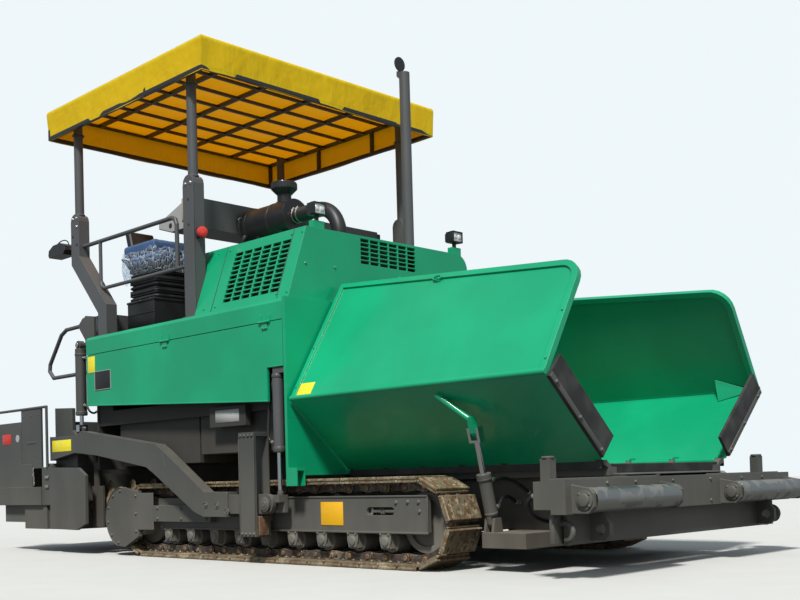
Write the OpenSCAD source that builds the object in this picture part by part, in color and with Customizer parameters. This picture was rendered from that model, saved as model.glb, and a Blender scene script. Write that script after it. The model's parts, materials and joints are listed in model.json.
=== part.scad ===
// Tracked asphalt paver, in millimetres.
// +X is the way it drives, +Y its left side, +Z up; the origin is on the ground under its middle.

/* [Tracks] */
// Distance between the drive sprocket and the front idler
track_base = 3015; // [2800:5:3200]
// Front idler, forward of the origin
idler_x = 1945; // [1900:5:1980]
// Height of the whole track loop
track_h = 575; // [560:5:590]
// Centre line of each track, out from the middle
track_y = 1000; // [990:1:1005]
// Width of a track shoe
shoe_w = 300; // [260:5:305]
// Thickness of a track shoe
shoe_t = 38; // [30:1:42]
// Gap between two track shoes
shoe_gap = 12; // [6:1:20]
// Shoes in one track
shoe_count = 44; // [40:1:50]
// Height of the chain inside the shoes
chain_h = 62; // [55:1:66]
// Width of the chain
chain_w = 130; // [100:2:140]
// Radius of a bottom roller
roller_r = 70; // [60:1:72]
// Distance between bottom rollers
roller_pitch = 297; // [285:1:300]
// Bottom rollers under one track
roller_count = 9; // [7:1:9]

/* [Chassis] */
// Gap between a track and the chassis
track_gap = 250; // [240:5:270]
// Thickness of the chassis plates
chassis_t = 40; // [30:1:45]
// Underside of the chassis
chassis_z = 230; // [210:5:240]
// Top of the chassis side plates
chassis_top = 545; // [530:5:550]
// Rear end of the chassis
chassis_rear = -1480; // [-1500:5:-1470]
// Front end of the chassis
chassis_front = 3060; // [3040:5:3070]

/* [Body] */
// How far the side doors stand out past the tracks
body_over = 90; // [85:1:100]
// Rear end of the body
body_rear = -1685; // [-1700:5:-1680]
// Height of the deck
deck_z = 1780; // [1770:5:1800]
// Height of the fixed rail above the side doors
rail_h = 130; // [110:5:150]
// Thickness of the body panels
panel_t = 20; // [14:1:24]
// Lower edge of a side door at its front
door_low_front = 1105; // [1080:5:1120]
// Lower edge of a side door at its rear
door_low_rear = 1230; // [1215:5:1240]
// Front of the wall behind the hopper
hopper_x = 885; // [875:5:890]
// Height of the gate that the mix leaves the hopper by
gate_h = 380; // [340:5:400]

/* [Hood] */
// Top of the hood
hood_z = 2310; // [2290:5:2330]
// Rear end of the hood
hood_rear = -315; // [-320:5:-300]
// Lean of the hood's right side, at its top
hood_lean = 180; // [150:5:200]
// Left side of the hood, in from the left door
hood_under = 570; // [560:5:590]
// Columns in a grille
grille_cols = 6; // [5:1:7]
// Rows in the side grille
side_rows = 11; // [10:1:12]
// Rows in the front grille
front_rows = 6; // [5:1:7]

/* [Hopper] */
// Wing hinge, out from the chassis
hinge_over = 75; // [70:1:80]
// Height of the wing hinges
wing_hinge_z = 620; // [615:1:625]
// Fold of a wing, out from its hinge
fold_over = 542; // [530:1:550]
// Height of that fold
fold_z = 1112; // [1100:2:1125]
// Lean of the upper panel back from the fold
wing_top_in = 398; // [390:2:405]
// Rise of the upper panel at its front
wing_rise = 660; // [640:5:670]
// More of that rise at its rear
wing_rear_rise = 150; // [100:5:170]
// Front edge of the wings
wing_front = 3000; // [2990:5:3005]
// Thickness of a wing panel
wing_t = 16; // [12:1:20]
// Width of the rim along a wing's edges
rim_w = 40; // [34:1:46]
// Radius of a wing's top front corner
wing_corner_r = 150; // [120:5:180]
// Width of the flap at a wing's front edge
flap_w = 150; // [120:5:160]
// Thickness of that flap
flap_t = 20; // [14:1:22]
// Lengthwise place of the wing cylinders
wing_cyl_x = 2370; // [2360:2:2380]

/* [Front] */
// Radius of a push roller
push_r = 65; // [60:1:66]
// Height of the push rollers
push_z = 425; // [420:1:430]
// Length of a push roller
push_len = 830; // [800:5:836]
// Front of the machine, at the push rollers
front_x = 3300; // [3298:1:3302]
// How far the front beam stands out past the tracks
beam_over = 140; // [130:1:145]

/* [Tow arms] */
// How far the arms stand out past the tracks
arm_over = 108; // [106:1:110]
// Thickness of an arm
arm_t = 88; // [84:1:90]
// Tow point, forward of the origin
tow_x = 652; // [648:1:656]
// Height of the tow point
tow_z = 413; // [410:1:416]
// Radius of the tow pin
tow_r = 30; // [26:1:34]

/* [Screed] */
// Underside of the screed
screed_z = 205; // [200:1:210]
// How far the main screed ends in from the arms' outer faces
screed_under = 13; // [8:1:18]
// Thickness of the screed's plates
screed_t = 25; // [20:1:30]
// Front of the screed
screed_front = -1960; // [-1965:1:-1955]
// Height of the main screed
screed_h = 340; // [320:5:350]
// Rear end of the machine
rear_x = -3300; // [-3302:1:-3298]
// Radius of an auger
auger_r = 185; // [175:1:190]
// Height of the augers' axis
auger_z = 430; // [425:1:435]

/* [Operator's place] */
// Canopy posts, in from the side doors
post_under = 120; // [110:2:130]
// Front posts
front_post_x = -288; // [-292:1:-284]
// Rear posts at their top
rear_post_x = -1955; // [-1965:1:-1945]
// Radius of the tubes above the posts
post_r = 38; // [32:1:42]

/* [Canopy] */
// Front edge of the canopy
canopy_front = 22; // [10:1:30]
// Rear edge of the canopy
canopy_rear = -2265; // [-2275:1:-2255]
// How far the canopy stands out past the side doors
canopy_over = 5; // [0:1:10]
// Lower edge of the valance
valance_z = 3577; // [3570:1:3585]
// Height of the valance
valance_h = 257; // [240:1:260]
// Thickness of the cover
cover_t = 8; // [6:1:10]
// Side of a canopy bar
bar_w = 30; // [24:1:34]

/* [Exhaust] */
// Radius of the exhaust pipe
pipe_r = 43; // [38:1:48]
// Radius of the cap over it
cap_r = 58; // [52:1:62]
// Top of the exhaust pipe
pipe_top = 3840; // [3830:5:3850]
// Exhaust, forward of the origin
pipe_x = 435; // [425:5:445]
// Exhaust, left of the middle
pipe_y = 450; // [440:5:460]

/* [Hidden] */
$fn = 48;
fit = 0.3;
run_gap = 5;
run_arch = 0.2;
pin_gap = 0.5;
track_r = track_h / 2;
sprocket_x = idler_x - track_base;
rail_z = shoe_t + chain_h;
inner_r = track_r - rail_z;
loop_len = 2 * track_base + 2 * PI * track_r;
shoe_pitch = loop_len / shoe_count;
track_out = track_y + shoe_w / 2;
chassis_y = track_y - shoe_w / 2 - track_gap;
body_y = track_out + body_over;
hood_left = body_y - hood_under;
beam_y = track_out + beam_over;
post_y = body_y - post_under;
canopy_y = body_y + canopy_over;
wing_hinge_y = chassis_y + hinge_over;
fold_y = wing_hinge_y + fold_over;
first_roller_x = idler_x - 292;
roller_w = chain_w - 10;
frame_out = track_y + 110;
frame_in = track_y - 110;
frame_low = 231;
frame_high = 456;
frame_front = idler_x + 77;
frame_rear = sprocket_x + 210;
web_low = 262;
guard_t = 37;
guard_in = track_out + 3;
guard_x = sprocket_x - 200;
guard_r = 240;
idler_r = inner_r * cos(0.2 * shoe_pitch / track_r * 180 / PI) - fit;
sill_y = chassis_y + 46;
sill_h = 50;
knuckle_r = 24;
hinge_r = 12;
wing_rear = hopper_x + 20;
lower_len = norm([fold_y - wing_hinge_y, fold_z - wing_hinge_z]);
lower_a = atan2(fold_z - wing_hinge_z, fold_y - wing_hinge_y);
upper_front = norm([wing_top_in, wing_rise]);
upper_a = atan2(wing_rise, -wing_top_in);
upper_rear = upper_front * (wing_rise + wing_rear_rise) / wing_rise;
foot_y = wing_hinge_y + 251;
foot_z = 285;
eye_y = foot_y + 140;
eye_z = 825;
wing_cyl_len = norm([eye_y - foot_y, eye_z - foot_z]);
wing_cyl_a = atan2(eye_y - foot_y, eye_z - foot_z);
barrel_len = 300;
fork_low = 66;
fork_t = 14;
barrel_r = 38;
rod_r = 19;
lug_t = 36;
push_x = front_x - push_r;
push_in = 370;
door_top = deck_z - rail_h - run_gap;
hinge_out = body_y + 9;
hinge_z = door_top + 2.5;
hinge_xs = [-530, 672];
leaf_t = 7;
column_x0 = 407;
column_x1 = 578;
column_top = 906;
guide_t = 12;
arm_out = track_out + arm_over;
arm_in = arm_out - arm_t;
screed_y = arm_out - screed_under;
lift_x = -1823;
lift_top = 1750;
lift_eye_z = 1036;
lift_barrel_z = 1160;
lift_stroke = 100;
lift_y = arm_out - arm_t / 2;
lever_x = 765;
auger_x = -1725;
auger_case_y = 55;
auger_in = auger_case_y + fit;
hanger_y = track_out - 20;
auger_out = hanger_y - fit;
gate_y = chassis_y - 60;
gate_z = chassis_top + 55;
ext_front = -2360;
ext_rear = -2760;
guide_r = 38;
gate_rear = -2245;
pole_x = -2310;
post_w = 130;
side_in = body_y - 100;
tank_out = body_y - 135;
tank_in = chassis_y + 50;
step_y = body_y - 85;
skirt_y = beam_y - 110;
lug_y = beam_y - 350;
grab_y = post_y - 20;
eye_x = -1565;
beam_z = 1120;
beam_h = 60;
leg_xs = [-1450, -340, 700];
leg_in = chassis_y - chassis_t;
lamp_ys = [-860, 585];
frame_z = valance_z + 3;
roof_z = valance_z + valance_h;
lattice_z = roof_z - cover_t - fit - bar_w;
green = "mediumseagreen";
dark = "dimgray";
black = "#202224";
steel = "silver";
canvas = "gold";

// A box between two values on each axis
module box(x0, x1, y0, y1, z0, z1) {
    translate([x0, y0, z0]) cube([x1 - x0, y1 - y0, z1 - z0]);
}

// The children and their mirror image across the middle plane
module both() {
    children();
    mirror([0, 1, 0]) children();
}

// The children on the right side, or mirrored to the left one
module side_of(s) {
    if (s < 0) children();
    else mirror([0, 1, 0]) children();
}

// An outline given in X and Z, from y0 to y1
module plate_xz(y0, y1, points) {
    translate([0, y1, 0]) rotate([90, 0, 0]) linear_extrude(y1 - y0) polygon(points);
}

// An outline given in Y and Z, from x0 to x1
module plate_yz(x0, x1, points) {
    translate([x0, 0, 0]) rotate([90, 0, 90]) linear_extrude(x1 - x0) polygon(points);
}

// A round bar from p to q
module bar(p, q, r) {
    d = q - p;
    flat = norm([d[0], d[1]]);
    translate(p) rotate([0, atan2(flat, d[2]), atan2(d[1], d[0])]) cylinder(r = r, h = norm(d));
}

// A round bar along Y between y0 and y1
module bar_y(x, y0, y1, z, r) {
    translate([x, y1, z]) rotate([90, 0, 0]) cylinder(r = r, h = y1 - y0);
}

// A round bar along X between x0 and x1
module bar_x(x0, x1, y, z, r) {
    translate([x0, y, z]) rotate([0, 90, 0]) cylinder(r = r, h = x1 - x0);
}

// A bent round tube through the points, with a ball at each bend
module tube_path(points, r) {
    for (i = [0 : len(points) - 2]) bar(points[i], points[i + 1], r);
    if (len(points) > 2) for (i = [1 : len(points) - 2]) translate(points[i]) sphere(r = r + 0.5);
}

// A point on the loop, s along it and d out from its outer face, as [x, z]
function loop_point(s, d) =
    let (m = s - floor(s / loop_len) * loop_len, half = PI * track_r, r = track_r + d)
    m < track_base ? [sprocket_x + m, track_r + r]
    : m < track_base + half ?
        let (a = 90 - (m - track_base) / track_r * 180 / PI) [idler_x + r * cos(a), track_r + r * sin(a)]
    : m < 2 * track_base + half ?
        let (u = (m - track_base - half) / track_base) [idler_x - u * track_base, track_r - r + run_arch * 4 * u * (1 - u)]
    : let (a = 270 - (m - 2 * track_base - half) / track_r * 180 / PI)
        [sprocket_x + r * cos(a), track_r + r * sin(a)];

// The outline of the loop at shoe i: the gap, then the flat shoe
function shoe_points(i) =
    let (
        a = i * shoe_pitch + shoe_gap / 2,
        b = (i + 1) * shoe_pitch - shoe_gap / 2
    )
    [loop_point(a, -shoe_t * 0.6), loop_point(a, 0), loop_point(b, 0), loop_point(b, -shoe_t * 0.6)];

// The outline of the chain at link i: a bushing recess, then the link
function link_points(i) =
    let (
        a = i * shoe_pitch + shoe_pitch * 0.3,
        b = (i + 1) * shoe_pitch - shoe_pitch * 0.3
    )
    [loop_point(a, -rail_z * 0.72), loop_point(a, -rail_z), loop_point(b, -rail_z), loop_point(b, -rail_z * 0.72)];

// One whole track: shoes outside, chain inside
module track(s) {
    outer = [for (i = [0 : shoe_count - 1]) for (p = shoe_points(i)) p];
    belt = [for (i = [0 : 2 * shoe_count - 1]) loop_point(i * shoe_pitch / 2, -shoe_t)];
    links = [for (i = [0 : shoe_count - 1]) for (p = link_points(i)) p];
    chain = [for (i = [0 : 2 * shoe_count - 1]) loop_point(i * shoe_pitch / 2, -shoe_t * 0.7)];
    color(black) translate([0, s * track_y, 0]) {
        translate([0, shoe_w / 2, 0]) rotate([90, 0, 0]) linear_extrude(shoe_w) difference() {
            polygon(outer);
            polygon(belt);
        }
        translate([0, chain_w / 2, 0]) rotate([90, 0, 0]) linear_extrude(chain_w) difference() {
            polygon(chain);
            polygon(links);
        }
    }
}

module track_right() track(-1);

module track_left() track(1);

// One track frame: two side plates over a web, cut round the idler
module track_frame() {
    slot_x = idler_x - 430;
    slot_l = 195;
    difference() {
        plate_xz(frame_out - 25, frame_out, [
            [frame_rear, frame_low + 30], [frame_rear + 60, frame_low], [frame_front, frame_low],
            [frame_front, frame_high], [frame_rear, frame_high]
        ]);
        box(slot_x, slot_x + slot_l, frame_out - 30, frame_out + 5, 335, 385);
        bar_y(slot_x, frame_out - 30, frame_out + 5, 360, 25);
        bar_y(slot_x + slot_l, frame_out - 30, frame_out + 5, 360, 25);
    }
    box(frame_rear, frame_front, frame_in, frame_in + 25, frame_low, frame_high);
    box(frame_rear, idler_x - inner_r - 40, frame_in + 25, frame_out - 25, web_low, web_low + 30);
    bar_y(idler_x, frame_in + 25, track_y - 55, track_r, 40);
    bar_y(idler_x, track_y + 55, frame_out - 25, track_r, 40);
    box(frame_rear, -110, frame_out, track_out + 12, 278, 403);
    for (x = [-300, 1300]) box(x, x + 260, chassis_y, frame_in, 270, 430);
}

module track_frames() color(dark) both() track_frame();

// The rollers, idler and sprocket of one side
module wheel_set() {
    roller_z = rail_z + roller_r + fit;
    carrier_z = track_h - rail_z - 45 - fit;
    for (i = [0 : roller_count - 1]) {
        x = first_roller_x - i * roller_pitch;
        bar_y(x, track_y - roller_w / 2, track_y + roller_w / 2, roller_z, roller_r);
        box(x - 42, x + 42, frame_in, track_y - roller_w / 2, roller_z - 45, frame_low);
        box(x - 42, x + 42, track_y + roller_w / 2, frame_out, roller_z - 45, frame_low);
    }
    for (x = [sprocket_x + 700, sprocket_x + 1450, sprocket_x + 2200]) {
        bar_y(x, track_y - 35, track_y + 35, carrier_z, 45);
        box(x - 15, x + 15, track_y - 60, track_y - 35, web_low + 30, carrier_z + 25);
        box(x - 15, x + 15, track_y + 35, track_y + 60, web_low + 30, carrier_z + 25);
    }
    difference() {
        bar_y(idler_x, track_y - 50, track_y + 50, track_r, idler_r);
        bar_y(idler_x, track_y + 30, track_y + 60, track_r, idler_r - 40);
    }
    bar_y(idler_x, track_y - 55, track_y + 55, track_r, 40);
    bar_y(sprocket_x, track_y - 30, track_y + 30, track_r, idler_r);
    bar_y(sprocket_x, chassis_y, track_y - 30, track_r, 145);
    bar_y(sprocket_x, track_y + 30, guard_in, track_r, 120);
}

module track_wheels() color(dark) both() wheel_set();

// The cover over one final drive
module drive_guard() {
    y1 = guard_in + guard_t;
    x1 = guard_x + guard_r;
    plate_xz(guard_in, y1, concat(
        [[guard_x + 40, 72], [x1, 160], [x1, 516]],
        [for (a = [90 : 15 : 255]) [guard_x + guard_r * cos(a), track_r + 22 + guard_r * sin(a)]]
    ));
    translate([0, 0, 213]) linear_extrude(289) polygon([[x1, guard_in], [frame_rear - 5, guard_in], [x1, y1]]);
}

module drive_guards() color(dark) both() drive_guard();

// The chassis's side plates with their rear ears
module main_frame() color(dark) difference() {
    both() {
        box(chassis_rear, chassis_front, leg_in, chassis_y, chassis_z, chassis_top);
        box(eye_x - 50, chassis_rear + 100, leg_in, chassis_y, 132, chassis_z);
    }
    bar_y(eye_x, -chassis_y - 5, chassis_y + 5, 182, 28);
}

// The low boxes across the chassis, between its plates
module cross_boxes() color(dark)
    for (x = [-1300, 300, 1600]) box(x, x + 120, -leg_in, leg_in, chassis_z - 40, chassis_z + 60);

// The box across the chassis's underside that carries the feet of the wing cylinders
module cylinder_feet() color(dark) {
    box(2330, 2655, -foot_y - 59, foot_y + 59, 140, chassis_z);
    both() for (x = [wing_cyl_x - 38, wing_cyl_x + 20]) plate_yz(x, x + 18, [
        [foot_y - 45, chassis_z], [foot_y + 45, chassis_z], [foot_y + 30, foot_z + 30], [foot_y - 30, foot_z + 30]
    ]);
    both() bar_x(wing_cyl_x - 38, wing_cyl_x + 38, foot_y, foot_z, 14);
}

// The posts that carry the deck, standing on the side plates
module deck_legs() color(dark) {
    both() for (x = leg_xs) box(x, x + 80, leg_in, chassis_y + 40, chassis_top, deck_z - beam_h);
}

// Cross beams between the posts and out to the rails
module deck_beams() color(dark) for (x = leg_xs) {
    box(x, x + 80, -leg_in, leg_in, beam_z, beam_z + beam_h);
    both() box(x, x + 80, chassis_y + 40, side_in - 30, beam_z, beam_z + beam_h);
}

// The low rails along both sides and the deck plates
module deck_rails() color(dark) both() {
    box(leg_xs[0], hopper_x - 25, side_in - 30, side_in, beam_z - 60, beam_z + beam_h);
    box(leg_xs[0], hopper_x - 25, leg_in, side_in, deck_z - beam_h, deck_z);
}

// The thin walls that close both sides of the tunnel under the deck
module tunnel_walls() color(black) both()
    box(chassis_rear, hopper_x - 25, leg_in - 8, leg_in, chassis_top + 5, beam_z);

// The rear wall with its gate opening, corner boxes, auger case and hangers
module rear_wall() color(dark) {
    wall_y = body_y - 60 - fit;
    both() box(body_rear + 20, leg_xs[0], side_in - 30, side_in, beam_z - 60, deck_z);
    difference() {
        plate_yz(body_rear, body_rear + 20, [
            [-side_in - 10, 700], [side_in + 10, 700], [side_in + 10, 1250], [wall_y, 1250], [wall_y, deck_z],
            [-wall_y, deck_z], [-wall_y, 1250], [-side_in - 10, 1250]
        ]);
        box(body_rear - 5, body_rear + 25, -gate_y - 40, gate_y + 40, 690, gate_z + gate_h + 20);
    }
    box(auger_x - 60, body_rear + 20, -auger_case_y, auger_case_y, 640, gate_z + gate_h + 60);
    box(auger_x - 60, auger_x + 60, -auger_case_y, auger_case_y, auger_z - 90, 640);
    both() {
        box(auger_x - 60, auger_x + 105, hanger_y, hanger_y + 20, 225, 567);
        box(auger_x - 30, auger_x + 30, hanger_y, hanger_y + 20, 567, 760);
        box(auger_x - 30, body_rear + 20, hanger_y, hanger_y + 20, 700, 760);
    }
}

// The engine as one plain block, standing on the deck's frame
module engine_block() color(black) box(-280, 740, 50 - chassis_y, chassis_y - 80, beam_z + beam_h, 2130);

// The fuel and oil tanks under the deck, and the service boxes beside them
module side_tanks() color(black) both() {
    box(-1400, -300, tank_in, tank_out, 720, beam_z);
    box(-280, 720, tank_in, tank_out, 780, beam_z);
    box(-50, 370, side_in, side_in + 50, 965, 1110);
}

// The floor of the hopper and tunnel, with its slats and end drums
module conveyor() color(black) {
    deck_y = chassis_y - chassis_t;
    top = chassis_top - 25;
    box(chassis_rear, chassis_front - 60, -deck_y, deck_y, top, top + 15);
    for (x = [chassis_rear + 40 : 180 : chassis_front - 120])
        both() box(x, x + 45, 30, deck_y - 20, top + 15, top + 45);
    both() box(chassis_rear, chassis_front - 60, deck_y - 20, deck_y, top + 15, top + 30);
    box(chassis_rear + 90, chassis_front - 150, -deck_y, deck_y, 350, 362);
    for (x = [chassis_rear + 90, chassis_front - 150]) bar_y(x, -deck_y, deck_y, 437, 83);
}

// The beams that the wings hinge on, with their lugs and hinge rods
module hopper_sills() color(dark) both() {
    box(hopper_x, wing_front - 5, chassis_y - chassis_t, sill_y, chassis_top, chassis_top + sill_h);
    for (i = [0 : 6]) {
        x = wing_rear + i * (wing_front - 45 - wing_rear) / 6;
        plate_yz(x, x + 40, [
            [sill_y - 40, chassis_top + sill_h - 1], [sill_y, chassis_top + sill_h - 1],
            [wing_hinge_y + 16, wing_hinge_z - 12], [wing_hinge_y + 16, wing_hinge_z + 16],
            [wing_hinge_y - 16, wing_hinge_z + 16]
        ]);
    }
    bar_x(wing_rear, wing_front - 5, wing_hinge_y, wing_hinge_z, hinge_r);
}

// The wall behind the hopper, above its gate
module hopper_back() color(green) box(hopper_x - 25, hopper_x, -body_y, body_y, gate_z + gate_h, deck_z + 20);

// That wall on both sides of the gate, each side with its foot
module hopper_cheeks() color(green) both() difference() {
    union() {
        box(hopper_x - 25, hopper_x, gate_y, body_y, 600, gate_z + gate_h);
        box(hopper_x - 25, hopper_x + 85, body_y - 75, body_y, 530, 650);
    }
    box(hopper_x + 20, hopper_x + 90, body_y - 65, body_y - 10, 520, 630);
}

// The front beam, its skirt, the end blocks and posts, the roller brackets and the tow lugs
module front_beam() color(dark) {
    x0 = chassis_front;
    difference() {
        union() {
            box(x0, x0 + 95, -beam_y, beam_y, 350, 535);
            both() box(x0 - 130, x0, chassis_y, chassis_y + 500, 190, 330);
            box(x0, x0 + 25, -skirt_y, skirt_y, 185, 350);
            both() box(x0 - 110, x0, beam_y - 90, beam_y, 375, 525);
            box(x0 - 60, x0, -beam_y, -beam_y + 60, 525, 645);
            box(x0, x0 + 60, 925, 985, 534, 645);
            both() for (y = [push_in - 31, push_in + push_len + 6])
                plate_xz(y, y + 25, [
                    [x0 + 95, push_z - 70], [push_x + 20, push_z - 70], [push_x + 55, push_z - 35],
                    [push_x + 55, push_z + 35], [push_x + 30, push_z + 60], [x0 + 95, push_z + 80]
                ]);
            both() plate_xz(lug_y, lug_y + 35, [
                [x0 + 25, 200], [x0 + 120, 200], [x0 + 150, 230], [x0 + 150, 290], [x0 + 110, 350], [x0 + 25, 350]
            ]);
        }
        both() bar_y(push_x, push_in - 40, push_in + push_len + 40, push_z, 20 + pin_gap);
        both() bar_y(x0 + 95, lug_y - 10, lug_y + 45, 262, 30);
    }
}

// One push roller, hollow at its ends, with its stub shafts
module push_roller(s) color(steel) translate([0, s < 0 ? -2 * push_in - push_len : 0, 0]) {
    y0 = push_in;
    difference() {
        bar_y(push_x, y0, y0 + push_len, push_z, push_r);
        bar_y(push_x, y0 - 1, y0 + 25, push_z, push_r - 12);
        bar_y(push_x, y0 + push_len - 25, y0 + push_len + 1, push_z, push_r - 12);
    }
    bar_y(push_x, y0 - 30, y0 + push_len + 30, push_z, 20);
}

module push_roller_right() push_roller(-1);

module push_roller_left() push_roller(1);

// Slots of a grille in a local plane: c columns and r rows over w by h
module slots(c, r, w, h, deep) {
    pw = w / c;
    ph = h / r;
    for (i = [0 : c - 1]) for (j = [0 : r - 1])
        translate([i * pw + pw * 0.07, j * ph + ph * 0.13, -deep / 2]) cube([pw * 0.86, ph * 0.74, deep]);
}

// The outline of the hood across the machine, drawn in by t and cut clear of the post beside it
function hood_outline(t) = concat(
    [[-body_y + 55 + t, deck_z + 20], [-body_y + 55 + hood_lean + t, hood_z - t]],
    [for (a = [90 : -15 : 0]) [hood_left - 120 + (120 - t) * cos(a), hood_z - 120 + (120 - t) * sin(a)]],
    [[hood_left - t, deck_z + 20]]
);

// The hood, a shell open below, with its two grilles and the blocks under the lamps
module hood() color(green) {
    difference() {
        plate_yz(hood_rear, hopper_x - 30, hood_outline(0));
        box(hood_rear - 5, front_post_x + post_w / 2 + fit, -post_y - 90, -post_y + 50 + fit, deck_z, hood_z);
        difference() {
            plate_yz(hood_rear + panel_t, hopper_x - 30 - panel_t, hood_outline(panel_t));
            box(hood_rear - 5, hopper_x, -2000, 2000, hood_z - panel_t, hood_z + 5);
        }
        box(hood_rear + panel_t, hopper_x - 30 - panel_t, -body_y + 55 + panel_t, hood_left - panel_t, deck_z + 10, deck_z + 22);
        translate([90, -body_y + 130, 1855]) rotate([90, 0, 0]) slots(grille_cols, side_rows, 645, 385, 300);
        translate([hopper_x - 40, -500, 2105]) rotate([90, 0, 90]) slots(grille_cols, front_rows, 580, 190, 120);
    }
    for (y = lamp_ys) box(hopper_x - 110, hopper_x - 60, y - 50, y + 50, hood_z - panel_t, hood_z + 60);
}

// The fixed rails above the side doors and the posts at their rear ends
module side_sills() color(green) both() {
    plate_yz(body_rear, hopper_x - 25, [
        [body_y - 60, deck_z - rail_h], [body_y, deck_z - rail_h], [body_y, deck_z - 10],
        [body_y - 12, deck_z + 12], [body_y - 30, deck_z + 20], [body_y - 60, deck_z + 20]
    ]);
    for (x = hinge_xs) {
        bar_x(x - 60, x + 60, hinge_out, hinge_z, 4);
        for (x1 = [x - 60, x + 31]) {
            bar_x(x1, x1 + 29, hinge_out, hinge_z, 8);
            box(x1, x1 + 29, body_y, body_y + leaf_t, hinge_z + 5, hinge_z + 50);
        }
    }
}

// One side door, hinged along its top edge
module side_door(s) color(green) side_of(s) {
    plate_xz(-body_y, -body_y + panel_t - 2, [
        [body_rear, door_top], [hopper_x - 30, door_top], [hopper_x - 30, 1335], [688, 1335],
        [688, door_low_front], [body_rear, door_low_rear]
    ]);
    for (x = hinge_xs) difference() {
        union() {
            bar_x(x - 30, x + 30, -hinge_out, hinge_z, 8);
            box(x - 30, x + 30, -body_y - leaf_t, -body_y, hinge_z - 50, hinge_z - 3);
        }
        bar_x(x - 31, x + 31, -hinge_out, hinge_z, 4 + pin_gap);
    }
}

module side_door_right() side_door(-1);

module side_door_left() side_door(1);

// The deck round the hood, the step at its rear and the lift cylinders' hangers
module platform() color(dark) {
    difference() {
        union() {
            box(body_rear, hopper_x - 25, -body_y + 60, body_y - 60, deck_z, deck_z + 20);
            box(body_rear - 160, body_rear, -step_y, step_y, deck_z, deck_z + 20);
        }
        box(hood_rear + 30, hopper_x - 70, -body_y + 90, hood_left - 30, deck_z - 5, deck_z + 25);
    }
    both() plate_xz(lift_y - 80, lift_y - 60, [
        [body_rear, deck_z], [body_rear, deck_z - 190], [lift_x + 40, lift_top - 60], [lift_x - 40, lift_top - 60],
        [lift_x - 40, deck_z]
    ]);
    both() bar_y(lift_x, lift_y - 60, lift_y + 30, lift_top, 15);
    both() plate_xz(step_y - 20, step_y, [
        [-1700, deck_z + 20], [-1700, 1985], [-1800, 2000], [-1884, 1990], [-1960, 1930], [-1845, deck_z + 20]
    ]);
}

// The pedestals that carry the two seats and their bellows
module seat_bases() color(dark) both() {
    box(-1583, -1180, 480, 900, deck_z + 20, 2100);
    for (i = [0 : 5]) {
        out = i % 2 * 16;
        box(-1560 - out, -1200 + out, 500 - out, 860 + out, 2100 + i * 50, 2150 + i * 50);
    }
}

// The two seats, each a cushion with its backrest folded down on it and the head rest behind
module seats() color("steelblue") both() {
    box(-1620, -1120, 470, 890, 2400, 2500);
    plate_xz(480, 880, [[-1740, 2500], [-1200, 2500], [-1220, 2600], [-1700, 2640]]);
    plate_xz(560, 800, [[-1725, 2600], [-1650, 2600], [-1695, 2750], [-1760, 2730]]);
}

// The console ahead of the seats, with its sloping panel and column
module console() color(dark) {
    box(-800, -560, -160, 160, deck_z + 20, 2545);
    plate_xz(240 - body_y, body_y - 240, [
        [-480, 2545], [-480, 2780], [-555, 2775], [-935, 2650], [-935, 2600], [-760, 2545]
    ]);
    both() plate_xz(body_y - 620, body_y - 180, [
        [-1655, deck_z + 20], [-1655, 2010], [-1838, 2010], [-2000, 2035], [-2110, 1975], [-2000, 1905],
        [-1835, 1880], [-1835, deck_z + 20]
    ]);
}

// Rails between the posts and the grab rails of the rear steps
module handrails() color(dark) both() difference() {
    union() {
        tube_path([
            [-515, post_y, 2210], [-515, post_y, 2550], [-532, post_y, 2592], [-575, post_y, 2610], [-1900, post_y, 2610]
        ], 17);
        tube_path([
            [front_post_x - post_w / 2, post_y, 2210], [-1570, post_y, 2210], [-1613, post_y, 2228],
            [-1630, post_y, 2270], [-1630, post_y, 2605]
        ], 15);
        tube_path([
            [-1905, grab_y, 1945], [-2255, grab_y, 1938], [-2345, grab_y, 1900], [-2555, grab_y, 1660],
            [-2565, grab_y, 1600], [-2495, grab_y, 1535], [-1835, grab_y, 1535], [-1835, grab_y, deck_z]
        ], 17);
    }
    rear_channel(fit);
}

// The bent channel of a rear post, grown by a little where other pieces are cut to it
module rear_channel(grow) {
    w = post_w / 2 + grow;
    plate_xz(post_y - 50 - grow, post_y + 50 + grow, concat(
        [[-1540 + w, deck_z + 20], [-1540 + w, 2060 + grow], [rear_post_x + w, 2520 + grow]],
        [for (a = [0 : 30 : 180]) [rear_post_x + w * cos(a), 2825 + w * sin(a)]],
        [[rear_post_x - w, 2460 - grow], [-1540 - w, 2000 - grow], [-1540 - w, deck_z + 20]]
    ));
}

// Four canopy posts: channels below, the rear ones bent, and round tubes above
module canopy_posts() color(dark) both() {
    w = post_w / 2;
    plate_xz(post_y - 50, post_y + 50, concat(
        [[front_post_x - w, deck_z + 20], [front_post_x + w, deck_z + 20]],
        [for (a = [0 : 30 : 180]) [front_post_x + w * cos(a), 2810 + w * sin(a)]]
    ));
    translate([front_post_x, post_y, 2860]) cylinder(r = post_r, h = lattice_z - 2860);
    rear_channel(0);
    translate([rear_post_x, post_y, 2875]) cylinder(r = post_r, h = lattice_z - 2875);
}

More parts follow.
